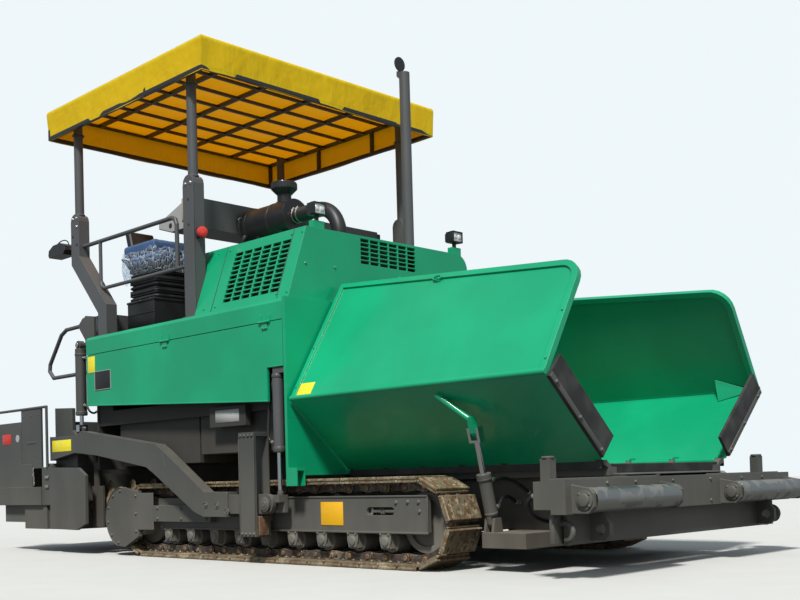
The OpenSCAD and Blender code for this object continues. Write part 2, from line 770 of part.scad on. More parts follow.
// The lattice of bars under the cover
module canopy_frame() color(dark) {
    w = bar_w;
    x0 = canopy_rear + cover_t + fit;
    x1 = canopy_front - cover_t - fit;
    y1 = canopy_y - cover_t - fit;
    top = roof_z - cover_t - fit;
    for (i = [0 : 5]) {
        y = -y1 + i * (2 * y1 - w) / 5;
        box(x0, x1, y, y + w, top - w, top);
    }
    for (i = [0 : 8]) {
        x = x0 + i * (x1 - x0 - w) / 8;
        box(x, x + w, -y1, y1, top - w, top - w / 3);
    }
    both() box(x0, x1, y1 - w, y1, frame_z, frame_z + w);
    for (x = [x0, x1 - w]) box(x, x + w, -y1, y1, frame_z, frame_z + w);
    both() for (x = [x0, x0 + 750, x0 + 1500, x1 - w]) box(x, x + w, y1 - w, y1, frame_z, top);
}

// The cover: a flat top and a valance all round, open below
module canopy_cover() color(canvas) difference() {
    box(canopy_rear, canopy_front, -canopy_y, canopy_y, valance_z, roof_z);
    box(canopy_rear + cover_t, canopy_front - cover_t, -canopy_y + cover_t, canopy_y - cover_t, valance_z - 1, roof_z - cover_t);
}

// The exhaust: an open pipe with the cap's lugs behind it
module exhaust_pipe() color(dark) translate([pipe_x, pipe_y, 0]) mirror([1, 0, 0]) {
    difference() {
        union() {
            translate([0, 0, hood_z]) cylinder(r = pipe_r, h = pipe_top - hood_z);
            for (y = [-25, 8]) plate_xz(y, y + 17, [
                [pipe_r - 3, pipe_top - 40], [pipe_r + 20, pipe_top - 20], [pipe_r + 20, pipe_top + 22],
                [pipe_r + 5, pipe_top + 22], [pipe_r + 5, pipe_top - 5], [pipe_r - 3, pipe_top - 5]
            ]);
        }
        translate([0, 0, pipe_top - 300]) cylinder(r = pipe_r - 5, h = 301);
    }
    bar_y(pipe_r + 12, -25, 25, pipe_top + 14, 4);
}

// The round cap, standing open above the pipe
module rain_cap() color(black) translate([pipe_x, pipe_y, pipe_top]) mirror([1, 0, 0]) {
    translate([pipe_r + 2, 0, cap_r + 26]) rotate([0, 90, 0]) cylinder(r = cap_r, h = 8);
    difference() {
        box(pipe_r + 2, pipe_r + 18, -6, 6, 4, 34);
        bar_y(pipe_r + 12, -7, 7, 14, 4 + pin_gap);
    }
}

// The air cleaner: a can along the machine, its neck and its cap
module air_cleaner() color(black) {
    bar_x(-445, 100, -450, 2600, 135);
    bar_x(-470, -445, -450, 2600, 120);
    translate([-32, -450, 2600]) cylinder(r = 55, h = 220);
    translate([-32, -450, 2790]) cylinder(r1 = 60, r2 = 100, h = 40);
    translate([-32, -450, 2830]) cylinder(r = 100, h = 45);
    for (x = [-280, 0]) box(x, x + 40, -540, -360, hood_z, 2500);
}

// The big hose from the air cleaner down into the hood
module intake_hose() color(black) {
    r = 55;
    bend = 230;
    x1 = 360;
    z = 2600;
    bar_x(100, x1, -450, z, r);
    translate([x1, -450, z - bend]) rotate([90, 0, 0]) rotate_extrude(angle = 90) translate([bend, 0]) circle(r = r);
    translate([x1 + bend, -450, hood_z]) cylinder(r = r, h = z - bend - hood_z);
}

// The work lamps on the front of the hood
module work_lamps() color(black) {
    for (y = lamp_ys) {
        box(hopper_x - 95, hopper_x - 75, y - 12, y + 12, hood_z + 60, hood_z + 100);
        box(hopper_x - 120, hopper_x - 50, y - 55, y + 55, hood_z + 100, hood_z + 185);
    }
}

// The mirrors and the arms that hold them
module mirrors() color(black) both() {
    bar([rear_post_x - post_w / 2 - fit, post_y, 2620], [-2110, post_y, 2620], 12);
    plate_xz(post_y - 50, post_y + 70, [
        [-2385, 2600], [-2370, 2575], [-2130, 2575], [-2095, 2610], [-2110, 2650], [-2180, 2680], [-2300, 2675],
        [-2375, 2640]
    ]);
}

// The upright guides of the tow points: two plates joined above and below
module arm_guides() color(dark) both() {
    out = arm_out + 27;
    inner = track_out + 2;
    box(column_x0, column_x1, out - 20, out, 190, column_top);
    box(column_x0, column_x1, inner, inner + guide_t, 190, column_top);
    box(column_x0, column_x1, inner + guide_t, out - 20, column_top - 30, column_top);
    box(column_x0, column_x1, inner + guide_t, out - 20, 190, 240);
    box(column_x0 + 30, column_x1 - 30, frame_out, inner, 290, 400);
}

// The levelling cylinders' barrels and the brackets that hang them
module levelling_barrels() color(dark) both() {
    y = arm_out - 45;
    difference() {
        translate([lever_x, y, 761]) cylinder(r = 38, h = 530);
        translate([lever_x, y, 760]) cylinder(r = 16.5, h = 500);
    }
    box(lever_x - 30, hopper_x - 25 - fit, y - 20, y + 20, 1291, 1330);
}

// The sliding tow points: a block, the pin, and the levelling rod
module tow_points() color(dark) both() {
    y = arm_out - 45;
    box(column_x0 + 25, lever_x + 25, arm_in, arm_in + 30, tow_z - 60, tow_z + 60);
    box(lever_x - 30, lever_x + 25, arm_in + 30, arm_out - 10, tow_z + 10, tow_z + 60);
    bar_y(tow_x, arm_in + 30, arm_out - 10, tow_z, tow_r);
    bar_y(tow_x, arm_out - 10, arm_out + 4, tow_z, tow_r + 12);
    translate([lever_x, y, tow_z + 60]) cylinder(r = 16, h = 480);
}

// The tow arms, from the tow point back and up to the screed
module tow_arms() color(dark) both() {
    difference() {
        union() {
            plate_xz(arm_in, arm_out, [
                [235, 323], [235, 498], [-45, 502], [-575, 826], [-665, 873], [-1768, 1027], [-1850, 990],
                [-2290, 1000], [-2290, 795], [-1879, 849], [-1521, 815], [-795, 700], [-705, 655], [-175, 357],
                [-65, 323]
            ]);
            box(235, tow_x, arm_in + 38, arm_out - 12, 345, 480);
            bar_y(tow_x, arm_in + 38, arm_out - 12, tow_z, 66);
        }
        bar_y(tow_x, arm_in - 5, arm_out + 5, tow_z, tow_r + pin_gap);
    }
    plate_xz(lift_y - 12, lift_y + 12, [
        [lift_x - 70, 950], [lift_x + 50, 950], [lift_x + 20, lift_eye_z + 18], [lift_x - 20, lift_eye_z + 18]
    ]);
}

// The screed's frame: end towers, cross beam, guide tubes and the walkway
module screed_frame() color(dark) {
    top = screed_z + screed_h;
    both() {
        difference() {
            plate_xz(arm_in - 30, arm_in, [
                [screed_front - 25, 985], [screed_front - 25, top], [ext_front + 5, top], [ext_front + 5, 1255],
                [-2060, 1240], [-2060, 1050]
            ]);
            for (z = [top + 60, top + 190]) bar_y(ext_front + 50, arm_in - 40, arm_in + 10, z, guide_r + pin_gap);
        }
        box(-2340, -2100, 200, arm_in - 30, 900, 1120);
        for (z = [top + 60, top + 190]) difference() {
            bar_y(ext_front + 50, 40, arm_in - 30, z, guide_r + 14);
            bar_y(ext_front + 50, 30, arm_in - 20, z, guide_r + pin_gap);
        }
    }
    difference() {
        union() {
            box(-2320, -2120, -arm_in + 30, arm_in - 30, top, top + 40);
            box(screed_front - 33, screed_front - 25, -arm_in + 30, arm_in - 30, top, 900);
            for (y = [-600, 0, 600]) box(-2250, -2150, y - 20, y + 20, top + 40, 1120);
        }
        for (z = [top + 60, top + 190]) bar_y(ext_front + 50, -arm_in, arm_in, z, guide_r + 10);
    }
    box(-2290, -2150, -200, 200, 900, 1120);
}

// The main screed: mouldboard, plate and end faces
module screed_plate() color(dark) {
    top = screed_z + screed_h - fit;
    box(screed_front - 20, screed_front, -screed_y, screed_y, screed_z + 30, screed_z + screed_h + 120);
    difference() {
        box(ext_front + 10, screed_front - 20, -screed_y, screed_y, screed_z, top);
        for (y = [-screed_y + screed_t, 2]) translate([ext_front + 10 + screed_t, y, screed_z + screed_t])
            cube([screed_front - ext_front - 30 - 2 * screed_t, screed_y - screed_t - 2, screed_h]);
    }
}

// One extension: plate, end gate, guide bars, step board and rail
module screed_extension(s) color(dark) side_of(s) {
    out = -beam_y;
    t = screed_t;
    difference() {
        box(ext_rear, ext_front, out + 28, -60, screed_z, screed_z + 300);
        box(ext_rear + t, ext_front - t, out + 28 + t, -60 - t, screed_z + t, screed_z + 301);
    }
    plate_xz(out, out + 28, [
        [gate_rear, 211], [-1812, 204], [-1660, 257], [-1655, 657], [-1772, 722], [gate_rear, 735]
    ]);
    box(-2410, gate_rear, out + 14, out + 28, 413, 742);
    for (z = [screed_z + screed_h + 60, screed_z + screed_h + 190])
        bar_y(ext_front + 50, out + 28, -160, z, guide_r);
    box(rear_x, ext_rear, out + 20, -60, 470, 500);
    plate_xz(out, out + 20, [[rear_x, 413], [-2410, 413], [-2410, 572], [rear_x, 572]]);
    plate_xz(out + 5, out + 20, [
        [-3220, 572], [-2570, 572], [-2570, 774], [-2765, 774], [-2765, 1155], [-3220, 1155]
    ]);
    box(-3200, ext_rear, out + 60, out + 80, 260, 470);
    box(-2765, -2405, out + 10, out + 28, 735, 1254);
    box(ext_rear - 20, ext_rear + 5, out + 28, -60, 500, 742);
    tube_path([[pole_x, out + 14, 735], [pole_x, out + 14, 1265], [rear_x + 18, out + 14, 1265], [rear_x + 18, out + 12, 560]], 12);
}

module screed_extension_right() screed_extension(-1);

module screed_extension_left() screed_extension(1);

// One auger: a shaft with two flights wound round it
module auger(s) color(black) mirror([0, s < 0 ? 1 : 0, 0]) {
    len = auger_out - auger_in;
    turns = 2.5;
    rings = 40;
    step = (len - 40) / rings;
    corners = [[36, -16], [auger_r, -16], [auger_r, 16], [36, 16]];
    points = [for (i = [0 : rings]) let (a = 360 * turns * i / rings) for (c = corners)
        [c[0] * cos(a) - c[1] * sin(a), c[0] * sin(a) + c[1] * cos(a), 20 + i * step]];
    sides = [for (i = [0 : rings - 1]) let (a = 4 * i) each [
        [a, a + 4, a + 1], [a + 1, a + 4, a + 5], [a + 1, a + 5, a + 2], [a + 2, a + 5, a + 6],
        [a + 2, a + 6, a + 7], [a + 2, a + 7, a + 3], [a + 3, a + 7, a], [a, a + 7, a + 4]
    ]];
    caps = [[0, 1, 2, 3], [4 * rings + 3, 4 * rings + 2, 4 * rings + 1, 4 * rings]];
    translate([auger_x, auger_in, auger_z]) rotate([-90, 0, 0]) {
        cylinder(r = 42, h = len);
        for (a = [0, 180]) rotate([0, 0, a]) polyhedron(points, concat(caps, sides));
    }
}

module auger_right() auger(-1);

module auger_left() auger(1);

// The barrels of the screed's lift cylinders
module lift_barrels() color(dark) both() difference() {
    union() {
        translate([lift_x, lift_y, lift_barrel_z]) cylinder(r = 45, h = lift_top - 30 - lift_barrel_z);
        bar_y(lift_x, lift_y - 22, lift_y + 22, lift_top, 38);
    }
    translate([lift_x, lift_y, lift_barrel_z - 1]) cylinder(r = 17 + pin_gap, h = 501);
    bar_y(lift_x, lift_y - 30, lift_y + 30, lift_top, 15 + pin_gap);
}

// Their rods, each ending in a fork over the arm's lug
module lift_rods() color(steel) both() {
    translate([lift_x, lift_y, lift_eye_z + 45]) cylinder(r = 17, h = lift_barrel_z + 500 - lift_stroke - lift_eye_z - 45);
    box(lift_x - 26, lift_x + 26, lift_y - 40, lift_y + 40, lift_eye_z + 31, lift_eye_z + 45);
    for (y = [lift_y - 40, lift_y + 20]) box(lift_x - 26, lift_x + 26, y, y + 20, lift_eye_z - 12, lift_eye_z + 31);
}

// A wing's upper panel in its own plane: u along the machine, v up the panel
function upper_points(t) = let (r = wing_corner_r - t, x1 = wing_front - t, v1 = upper_front - t) concat(
    [[wing_rear + t, t > 0 ? -1 : 0], [x1, t > 0 ? -1 : 0]],
    [for (a = [0 : 15 : 90]) [x1 - r + r * cos(a), v1 - r + r * sin(a)]],
    [[wing_rear + t, upper_rear - t]]
);

// Moves what is drawn in a panel's own plane to the left wing, its foot at (y, z), leaning at a
module on_panel(y, z, a) {
    translate([0, y, z]) rotate([a, 0, 0]) children();
}

// One wing: two panels, the rim, the knuckles and the arm that the cylinder pushes
module wing(s) color(green) mirror([0, s < 0 ? 1 : 0, 0]) {
    difference() {
        union() {
            on_panel(fold_y, fold_z, upper_a) linear_extrude(wing_t) polygon(upper_points(0));
            on_panel(fold_y, fold_z, upper_a) translate([0, 0, wing_t / 2 - rim_w / 2]) linear_extrude(rim_w)
                difference() {
                    polygon(upper_points(0));
                    polygon(upper_points(rim_w));
                }
            on_panel(wing_hinge_y, wing_hinge_z, lower_a)
                translate([wing_rear, 0, -wing_t]) cube([wing_front - wing_rear, lower_len, wing_t]);
            bar_x(wing_rear - 2, wing_front + 2, fold_y, fold_z, 18);
            bar_x(wing_rear, wing_front - 5, wing_hinge_y, wing_hinge_z, knuckle_r);
        }
        for (i = [0 : 6]) {
            x = wing_rear + i * (wing_front - 45 - wing_rear) / 6;
            box(x - 5, x + 45, wing_hinge_y - 60, wing_hinge_y + 40, wing_hinge_z - 60, wing_hinge_z + 45);
        }
        bar_x(wing_rear - 5, wing_front + 5, wing_hinge_y, wing_hinge_z, hinge_r + pin_gap);
    }
    plate_yz(wing_cyl_x - lug_t / 2, wing_cyl_x + lug_t / 2, [
        [eye_y - 26, eye_z - 16], [eye_y, eye_z - 30], [eye_y + 26, eye_z - 16], [eye_y + 60, eye_z + 80],
        [eye_y + 14, eye_z + 84]
    ]);
    bar([wing_cyl_x, eye_y + 33, eye_z + 62], [wing_cyl_x - 200, fold_y - 45, fold_z - 68], 20);
}

module wing_right() wing(-1);

module wing_left() wing(1);

// The flap across a wing's front edge, below the fold
module wing_flap(s) color(black) mirror([0, s < 0 ? 1 : 0, 0])
    translate([0, wing_hinge_y, wing_hinge_z]) rotate([lower_a, 0, 0])
    box(wing_front, wing_front + flap_t, 60, lower_len - 20, -wing_t, flap_w);

module wing_flap_right() wing_flap(-1);

module wing_flap_left() wing_flap(1);

// Places what is drawn along +Z from the foot pin on one side's wing cylinder
module on_wing_cylinder(s) {
    mirror([0, s < 0 ? 1 : 0, 0]) translate([wing_cyl_x, foot_y, foot_z]) rotate([-wing_cyl_a, 0, 0]) children();
}

// The barrel of a wing cylinder, from its foot pin up
module wing_barrel(s) color(dark) on_wing_cylinder(s) {
    difference() {
        union() {
            cylinder(r = barrel_r, h = barrel_len);
            translate([0, 0, barrel_len - 25]) cylinder(r = barrel_r + 6, h = 25);
            bar_x(-18, 18, 0, 0, 30);
        }
        translate([0, 0, 50]) cylinder(r = rod_r + pin_gap, h = barrel_len);
        for (x = [18, -60]) translate([x, -60, -60]) cube([42, 120, 108]);
        bar_x(-60, 60, 0, 0, 14 + pin_gap);
    }
}

// The rod of a wing cylinder, ending in a fork over the wing's lug
module wing_rod(s) color(steel) on_wing_cylinder(s) {
    h = wing_cyl_len;
    translate([0, 0, 245]) cylinder(r = rod_r, h = h - fork_low - 245);
    translate([-42, -24, h - fork_low]) cube([84, 48, fork_t]);
    for (x = [-42, 24]) translate([x, -24, h - fork_low + fork_t]) cube([18, 48, fork_low - fork_t + 24]);
}

module wing_barrel_right() wing_barrel(-1);

module wing_barrel_left() wing_barrel(1);

module wing_rod_right() wing_rod(-1);

module wing_rod_left() wing_rod(1);

main_frame();
cross_boxes();
cylinder_feet();
deck_legs();
deck_beams();
deck_rails();
tunnel_walls();
rear_wall();
engine_block();
side_tanks();
track_frames();
track_right();
track_left();
track_wheels();
drive_guards();
conveyor();
hopper_sills();
hopper_back();
hopper_cheeks();
front_beam();
hood();
side_sills();
platform();
seat_bases();
seats();
console();
handrails();
canopy_posts();
canopy_frame();
canopy_cover();
exhaust_pipe();
rain_cap();
air_cleaner();
intake_hose();
work_lamps();
mirrors();
arm_guides();
levelling_barrels();
wing_right();
wing_left();
wing_flap_right();
wing_flap_left();
wing_barrel_right();
wing_barrel_left();
wing_rod_right();
wing_rod_left();
push_roller_right();
push_roller_left();
side_door_right();
side_door_left();
tow_points();
tow_arms();
screed_frame();
screed_plate();
screed_extension_right();
screed_extension_left();
auger_right();
auger_left();
lift_barrels();
lift_rods();
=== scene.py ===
"""The looks of a tracked asphalt paver: its finishes, fabric and fittings, the lights and the camera.

Lengths are in metres. +X is the way the machine drives, +Y its left side and +Z up.
"""

from __future__ import annotations

import json
import logging
import math
import random
from dataclasses import dataclass
from enum import Enum
from typing import Callable, Iterable, Sequence, Union

import bmesh
import bpy
from mathutils import Matrix, Vector

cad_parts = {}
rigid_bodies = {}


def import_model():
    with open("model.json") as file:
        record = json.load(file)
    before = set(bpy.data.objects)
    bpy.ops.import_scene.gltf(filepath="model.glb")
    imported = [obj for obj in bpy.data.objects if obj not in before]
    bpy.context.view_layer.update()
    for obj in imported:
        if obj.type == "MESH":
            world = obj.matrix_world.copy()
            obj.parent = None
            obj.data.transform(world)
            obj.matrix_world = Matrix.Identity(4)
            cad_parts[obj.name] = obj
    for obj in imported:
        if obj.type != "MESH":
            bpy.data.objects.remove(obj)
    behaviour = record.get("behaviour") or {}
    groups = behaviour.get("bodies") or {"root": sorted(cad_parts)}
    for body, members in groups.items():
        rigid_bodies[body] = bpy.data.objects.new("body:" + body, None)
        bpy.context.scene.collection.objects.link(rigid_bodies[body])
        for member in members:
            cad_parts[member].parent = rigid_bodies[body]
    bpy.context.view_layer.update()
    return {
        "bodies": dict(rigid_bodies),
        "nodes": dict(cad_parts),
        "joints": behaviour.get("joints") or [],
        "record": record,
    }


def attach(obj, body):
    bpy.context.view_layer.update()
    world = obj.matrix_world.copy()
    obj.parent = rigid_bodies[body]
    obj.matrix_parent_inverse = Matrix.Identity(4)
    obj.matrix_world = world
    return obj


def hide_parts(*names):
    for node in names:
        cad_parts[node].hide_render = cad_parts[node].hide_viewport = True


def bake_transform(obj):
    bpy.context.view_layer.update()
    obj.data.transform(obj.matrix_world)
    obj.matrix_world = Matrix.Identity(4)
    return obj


LOG = logging.getLogger("paver")
Colour = tuple[float, float, float]
Point = tuple[float, float, float]

DECK_Z = 1.800
BODY_Y = 1.240
HOOD_Z = 2.310
TRACK_R = 0.2875
TRACK_Y = 1.000
IDLER_X = 1.945
SPROCKET_X = -1.070
SHOES = 44
POST_Y = 1.120
WING_HINGE = Vector((0.0, 0.675, 0.620))
WING_FOLD = Vector((0.0, 1.217, 1.112))
WING_TOP = Vector((0.0, 0.819, 1.772))
WING_FRONT = 3.000
WING_REAR = 0.905


class Side(Enum):
    """One side of the machine and the sign of Y on it."""

    RIGHT = -1
    LEFT = 1

    @property
    def word(self) -> str:
        """The side's name, as the bodies use it."""
        return self.name.lower()


class Axis(Enum):
    """An axis that an outline is drawn square to."""

    X = 0
    Y = 1
    Z = 2


class Signal:
    """A shader socket that sums are written on."""

    def __init__(self, sheet: "Sheet", socket: bpy.types.NodeSocket) -> None:
        """Wraps one output socket.

        Args:
            sheet: The sheet that the socket's node stands on.
            socket: The output socket.
        """
        self.sheet = sheet
        self.socket = socket

    def _sum(self, operation: str, first: "Value", second: "Value") -> "Signal":
        """Adds one Math node and returns its result."""
        return self.sheet.node("ShaderNodeMath", {"operation": operation}, {0: first, 1: second})

    def __add__(self, other: "Value") -> "Signal":
        """This plus the other."""
        return self._sum("ADD", self, other)

    def __radd__(self, other: "Value") -> "Signal":
        """The other plus this."""
        return self._sum("ADD", other, self)

    def __sub__(self, other: "Value") -> "Signal":
        """This less the other."""
        return self._sum("SUBTRACT", self, other)

    def __rsub__(self, other: "Value") -> "Signal":
        """The other less this."""
        return self._sum("SUBTRACT", other, self)

    def __mul__(self, other: "Value") -> "Signal":
        """This times the other."""
        return self._sum("MULTIPLY", self, other)

    def __rmul__(self, other: "Value") -> "Signal":
        """The other times this."""
        return self._sum("MULTIPLY", other, self)

    def __gt__(self, other: "Value") -> "Signal":
        """One where this is greater than the other, and zero elsewhere."""
        return self._sum("GREATER_THAN", self, other)

    def ramp(self, low: float, high: float) -> "Signal":
        """A smooth step from zero at low to one at high.

        Args:
            low: Where the step starts.
            high: Where the step ends, which may be below its start.

        Returns:
            The stepped signal.
        """
        if low > high:
            return 1.0 - self.ramp(high, low)
        settings = {"interpolation_type": "SMOOTHSTEP"}
        return self.sheet.node("ShaderNodeMapRange", settings, {0: self, 1: low, 2: high})


Value = Union[Signal, float, Sequence[float]]


class Sheet:
    """One material's node tree, and the ways it is written."""

    def __init__(self, name: str) -> None:
        """Starts an empty material.

        Args:
            name: The material's name.
        """
        self.material = bpy.data.materials.new(name)
        self.material.use_nodes = True
        self.tree = self.material.node_tree
        self.tree.nodes.clear()

    def node(
        self,
        kind: str,
        settings: dict[str, object] | None = None,
        inputs: dict[int | str, Value] | None = None,
        output: int | str | None = 0,
    ) -> Signal:
        """Adds a node, sets it, then fills or links its sockets.

        Args:
            kind: The node's type.
            settings: Attributes by name, or the stops of a colour ramp under "stops".
            inputs: Values or links by socket name or number.
            output: The output that is wanted, or none for a node that ends the tree.

        Returns:
            That output as a signal.
        """
        made = self.tree.nodes.new(kind)
        for name, value in (settings or {}).items():
            if name == "stops":
                self._stops(made, value)
            else:
                setattr(made, name, value)
        for name, value in (inputs or {}).items():
            if isinstance(value, Signal):
                self.tree.links.new(value.socket, made.inputs[name])
            else:
                made.inputs[name].default_value = self._fitted(made.inputs[name], value)
        return Signal(self, None if output is None else made.outputs[output])

    @staticmethod
    def _fitted(socket: bpy.types.NodeSocket, value: float | Sequence[float]) -> object:
        """Gives a colour the alpha that its socket needs."""
        if socket.type == "RGBA" and not isinstance(value, float) and len(value) == 3:
            return (*value, 1.0)
        return value

    @staticmethod
    def _stops(made: bpy.types.Node, stops: Sequence[tuple[float, Colour]]) -> None:
        """Sets the stops of a colour ramp."""
        band = made.color_ramp
        while len(band.elements) < len(stops):
            band.elements.new(1.0)
        for element, (place, colour) in zip(band.elements, stops):
            element.position = place
            element.color = (*colour, 1.0)

    def place(self, stretch: Point = (1.0, 1.0, 1.0)) -> Signal:
        """The place on the piece in metres, stretched along each axis."""
        spot = self.node("ShaderNodeTexCoord", output="Object")
        if stretch == (1.0, 1.0, 1.0):
            return spot
        return self.node("ShaderNodeMapping", inputs={"Vector": spot, "Scale": stretch})

    def axis(self, which: Axis) -> Signal:
        """One coordinate of the place."""
        return self.node("ShaderNodeSeparateXYZ", inputs={0: self.place()}, output=which.value)

    def facing(self, which: Axis) -> Signal:
        """One coordinate of the surface's direction."""
        normal = self.node("ShaderNodeNewGeometry", output="Normal")
        return self.node("ShaderNodeSeparateXYZ", inputs={0: normal}, output=which.value)

    def noise(self, scale: float, detail: float = 3.0, stretch: Point = (1.0, 1.0, 1.0)) -> Signal:
        """Soft noise from zero to one."""
        inputs = {"Vector": self.place(stretch), "Scale": scale, "Detail": detail}
        return self.node("ShaderNodeTexNoise", inputs=inputs)

    def cells(self, scale: float, feature: str = "F1", stretch: Point = (1.0, 1.0, 1.0)) -> Signal:
        """Distance in a field of cells."""
        inputs = {"Vector": self.place(stretch), "Scale": scale}
        return self.node("ShaderNodeTexVoronoi", {"feature": feature}, inputs)

    def wave(self, way: str, scale: float) -> Signal:
        """Even bands across one axis."""
        inputs = {"Vector": self.place(), "Scale": scale}
        return self.node("ShaderNodeTexWave", {"bands_direction": way}, inputs)

    def mix(self, share: Value, first: Value, second: Value) -> Signal:
        """A colour between two others."""
        settings = {"data_type": "RGBA"}
        return self.node("ShaderNodeMix", settings, {"Factor": share, 6: first, 7: second}, output=2)

    def rounded(self, radius: float) -> Signal:
        """The surface's direction with its edges rounded."""
        return self.node("ShaderNodeBevel", {"samples": 4}, {"Radius": radius})

    def edges(self, radius: float) -> Signal:
        """How near a sharp edge is, from zero to one."""
        flat = self.node("ShaderNodeNewGeometry", output="Normal")
        settings = {"operation": "DOT_PRODUCT"}
        match = self.node(
            "ShaderNodeVectorMath", settings, {0: self.rounded(radius), 1: flat}, output="Value"
        )
        return (1.0 - match).ramp(0.01, 0.22)

    def bump(self, height: Signal, depth: float, normal: Signal | None = None) -> Signal:
        """A bumped direction, with heights in metres times depth.

        Args:
            height: The height, from zero to one.
            depth: How high one is, in metres.
            normal: The direction that the bumps stand on.

        Returns:
            The bumped direction.
        """
        inputs: dict[int | str, Value] = {"Strength": 1.0, "Distance": depth, "Height": height}
        if normal is not None:
            inputs["Normal"] = normal
        return self.node("ShaderNodeBump", inputs=inputs)

    def surface(self, **inputs: Value) -> Signal:
        """The main shader, its sockets named with underscores for spaces."""
        return self.node(
            "ShaderNodeBsdfPrincipled", inputs={
                name.replace("_", " "): value for name, value in inputs.items()
            }
        )

    def close(self, shader: Signal) -> bpy.types.Material:
        """Ends the sheet in its shader and returns the material."""
        self.node("ShaderNodeOutputMaterial", inputs={"Surface": shader}, output=None)
        return self.material


@dataclass(frozen=True)
class Enamel:
    """Sprayed enamel on sheet steel, with dust and rubbed edges."""

    name: str
    colour: Colour
    rough: float = 0.3
    coat: float = 0.3
    dust: float = 0.25
    dust_top: float = 1.2
    wear: float = 0.3
    soft_edge: float = 0.006
    peel: float = 0.0003
    dust_colour: Colour = (0.36, 0.31, 0.24)
    bare: Colour = (0.2, 0.19, 0.18)

    def make(self) -> bpy.types.Material:
        """Builds the material."""
        sheet = Sheet(self.name)
        cloud = sheet.noise(1.6, 4.0)
        streak = sheet.noise(9.0, 3.0, (1.0, 1.0, 0.12))
        grain = sheet.noise(60.0, 4.0)
        low = sheet.axis(Axis.Z).ramp(self.dust_top, 0.1)
        up = sheet.facing(Axis.Z).ramp(0.2, 0.95)
        dust = (low * 0.7 + up * 0.45) * self.dust * (
            cloud * 0.9 + streak * 0.8 - 0.2
        ) + grain * 0.04 * self.dust
        tint = sheet.mix(cloud.ramp(0.35, 0.7), self.shade(0.9), self.shade(1.08))
        rubbed = sheet.edges(self.soft_edge) * (grain * 0.6 + cloud * 0.8).ramp(0.62, 0.85) * self.wear
        colour = sheet.mix(rubbed, sheet.mix(dust, tint, self.dust_colour), self.bare)
        peel = sheet.noise(180.0, 2.0)
        return sheet.close(
            sheet.surface(
                Base_Color=colour,
                Roughness=self.rough + dust * 0.5 + streak * 0.06,
                Coat_Weight=self.coat * (1.0 - dust),
                Coat_Roughness=0.12,
                Normal=sheet.bump(peel, self.peel, sheet.rounded(self.soft_edge)),
            )
        )

    def shade(self, times: float) -> Colour:
        """The colour made lighter or darker."""
        red, green, blue = self.colour
        return (red * times, green * times, blue * times)


@dataclass(frozen=True)
class WornSteel:
    """Bare steel that wears bright on its edges, with rust and dried mud between."""

    name: str
    steel: Colour = (0.30, 0.245, 0.16)
    rust: Colour = (0.22, 0.14, 0.07)
    mud: Colour = (0.42, 0.34, 0.22)
    bright: Colour = (0.55, 0.48, 0.36)
    muddy: float = 0.75
    metal: float = 0.55

    def make(self) -> bpy.types.Material:
        """Builds the material."""
        sheet = Sheet(self.name)
        cloud = sheet.noise(7.0, 5.0)
        grit = sheet.noise(55.0, 5.0)
        spots = sheet.noise(22.0, 4.0, (1.0, 1.4, 1.0))
        edge = sheet.edges(0.007)
        mud = (cloud * 0.7 + grit * 0.5).ramp(0.62, 0.72) * self.muddy
        base = sheet.mix(spots.ramp(0.45, 0.6), self.steel, self.rust)
        shine = edge * grit.ramp(0.35, 0.6)
        colour = sheet.mix(shine * 0.8, sheet.mix(mud, base, self.mud), self.bright)
        return sheet.close(
            sheet.surface(
                Base_Color=colour,
                Metallic=(1.0 - mud) * self.metal,
                Roughness=0.62 + mud * 0.3 - shine * 0.2,
                Normal=sheet.bump(grit + mud * 0.6, 0.0012, sheet.rounded(0.004)),
            )
        )


@dataclass(frozen=True)
class Turned:
    """Machined or plated metal with fine marks along it."""

    name: str
    colour: Colour
    rough: float = 0.18
    marks: float = 0.0001
    scuff: float = 0.0

    def make(self) -> bpy.types.Material:
        """Builds the material."""
        sheet = Sheet(self.name)
        line = sheet.noise(260.0, 2.0, (1.0, 0.04, 1.0))
        patch = sheet.noise(11.0, 4.0).ramp(0.48, 0.62) * self.scuff
        dull = tuple(part * 0.45 for part in self.colour)
        return sheet.close(
            sheet.surface(
                Base_Color=sheet.mix(patch, self.colour, dull),
                Metallic=1.0 - patch * 0.6,
                Roughness=self.rough + line * 0.12 + patch * 0.4,
                Normal=sheet.bump(line, self.marks, sheet.rounded(0.003)),
            )
        )


@dataclass(frozen=True)
class Rubber:
    """Rubber or moulded plastic, dull and finely grained."""

    name: str
    colour: Colour = (0.022, 0.022, 0.022)
    rough: float = 0.62
    dust: float = 0.3

    def make(self) -> bpy.types.Material:
        """Builds the material."""
        sheet = Sheet(self.name)
        cloud = sheet.noise(6.0, 4.0).ramp(0.4, 0.7) * self.dust
        grain = sheet.noise(420.0, 2.0)
        pale = tuple(0.10 + part for part in self.colour)
        return sheet.close(
            sheet.surface(
                Base_Color=sheet.mix(cloud, self.colour, pale),
                Roughness=self.rough + cloud * 0.2,
                Normal=sheet.bump(grain, 0.0002, sheet.rounded(0.003)),
            )
        )


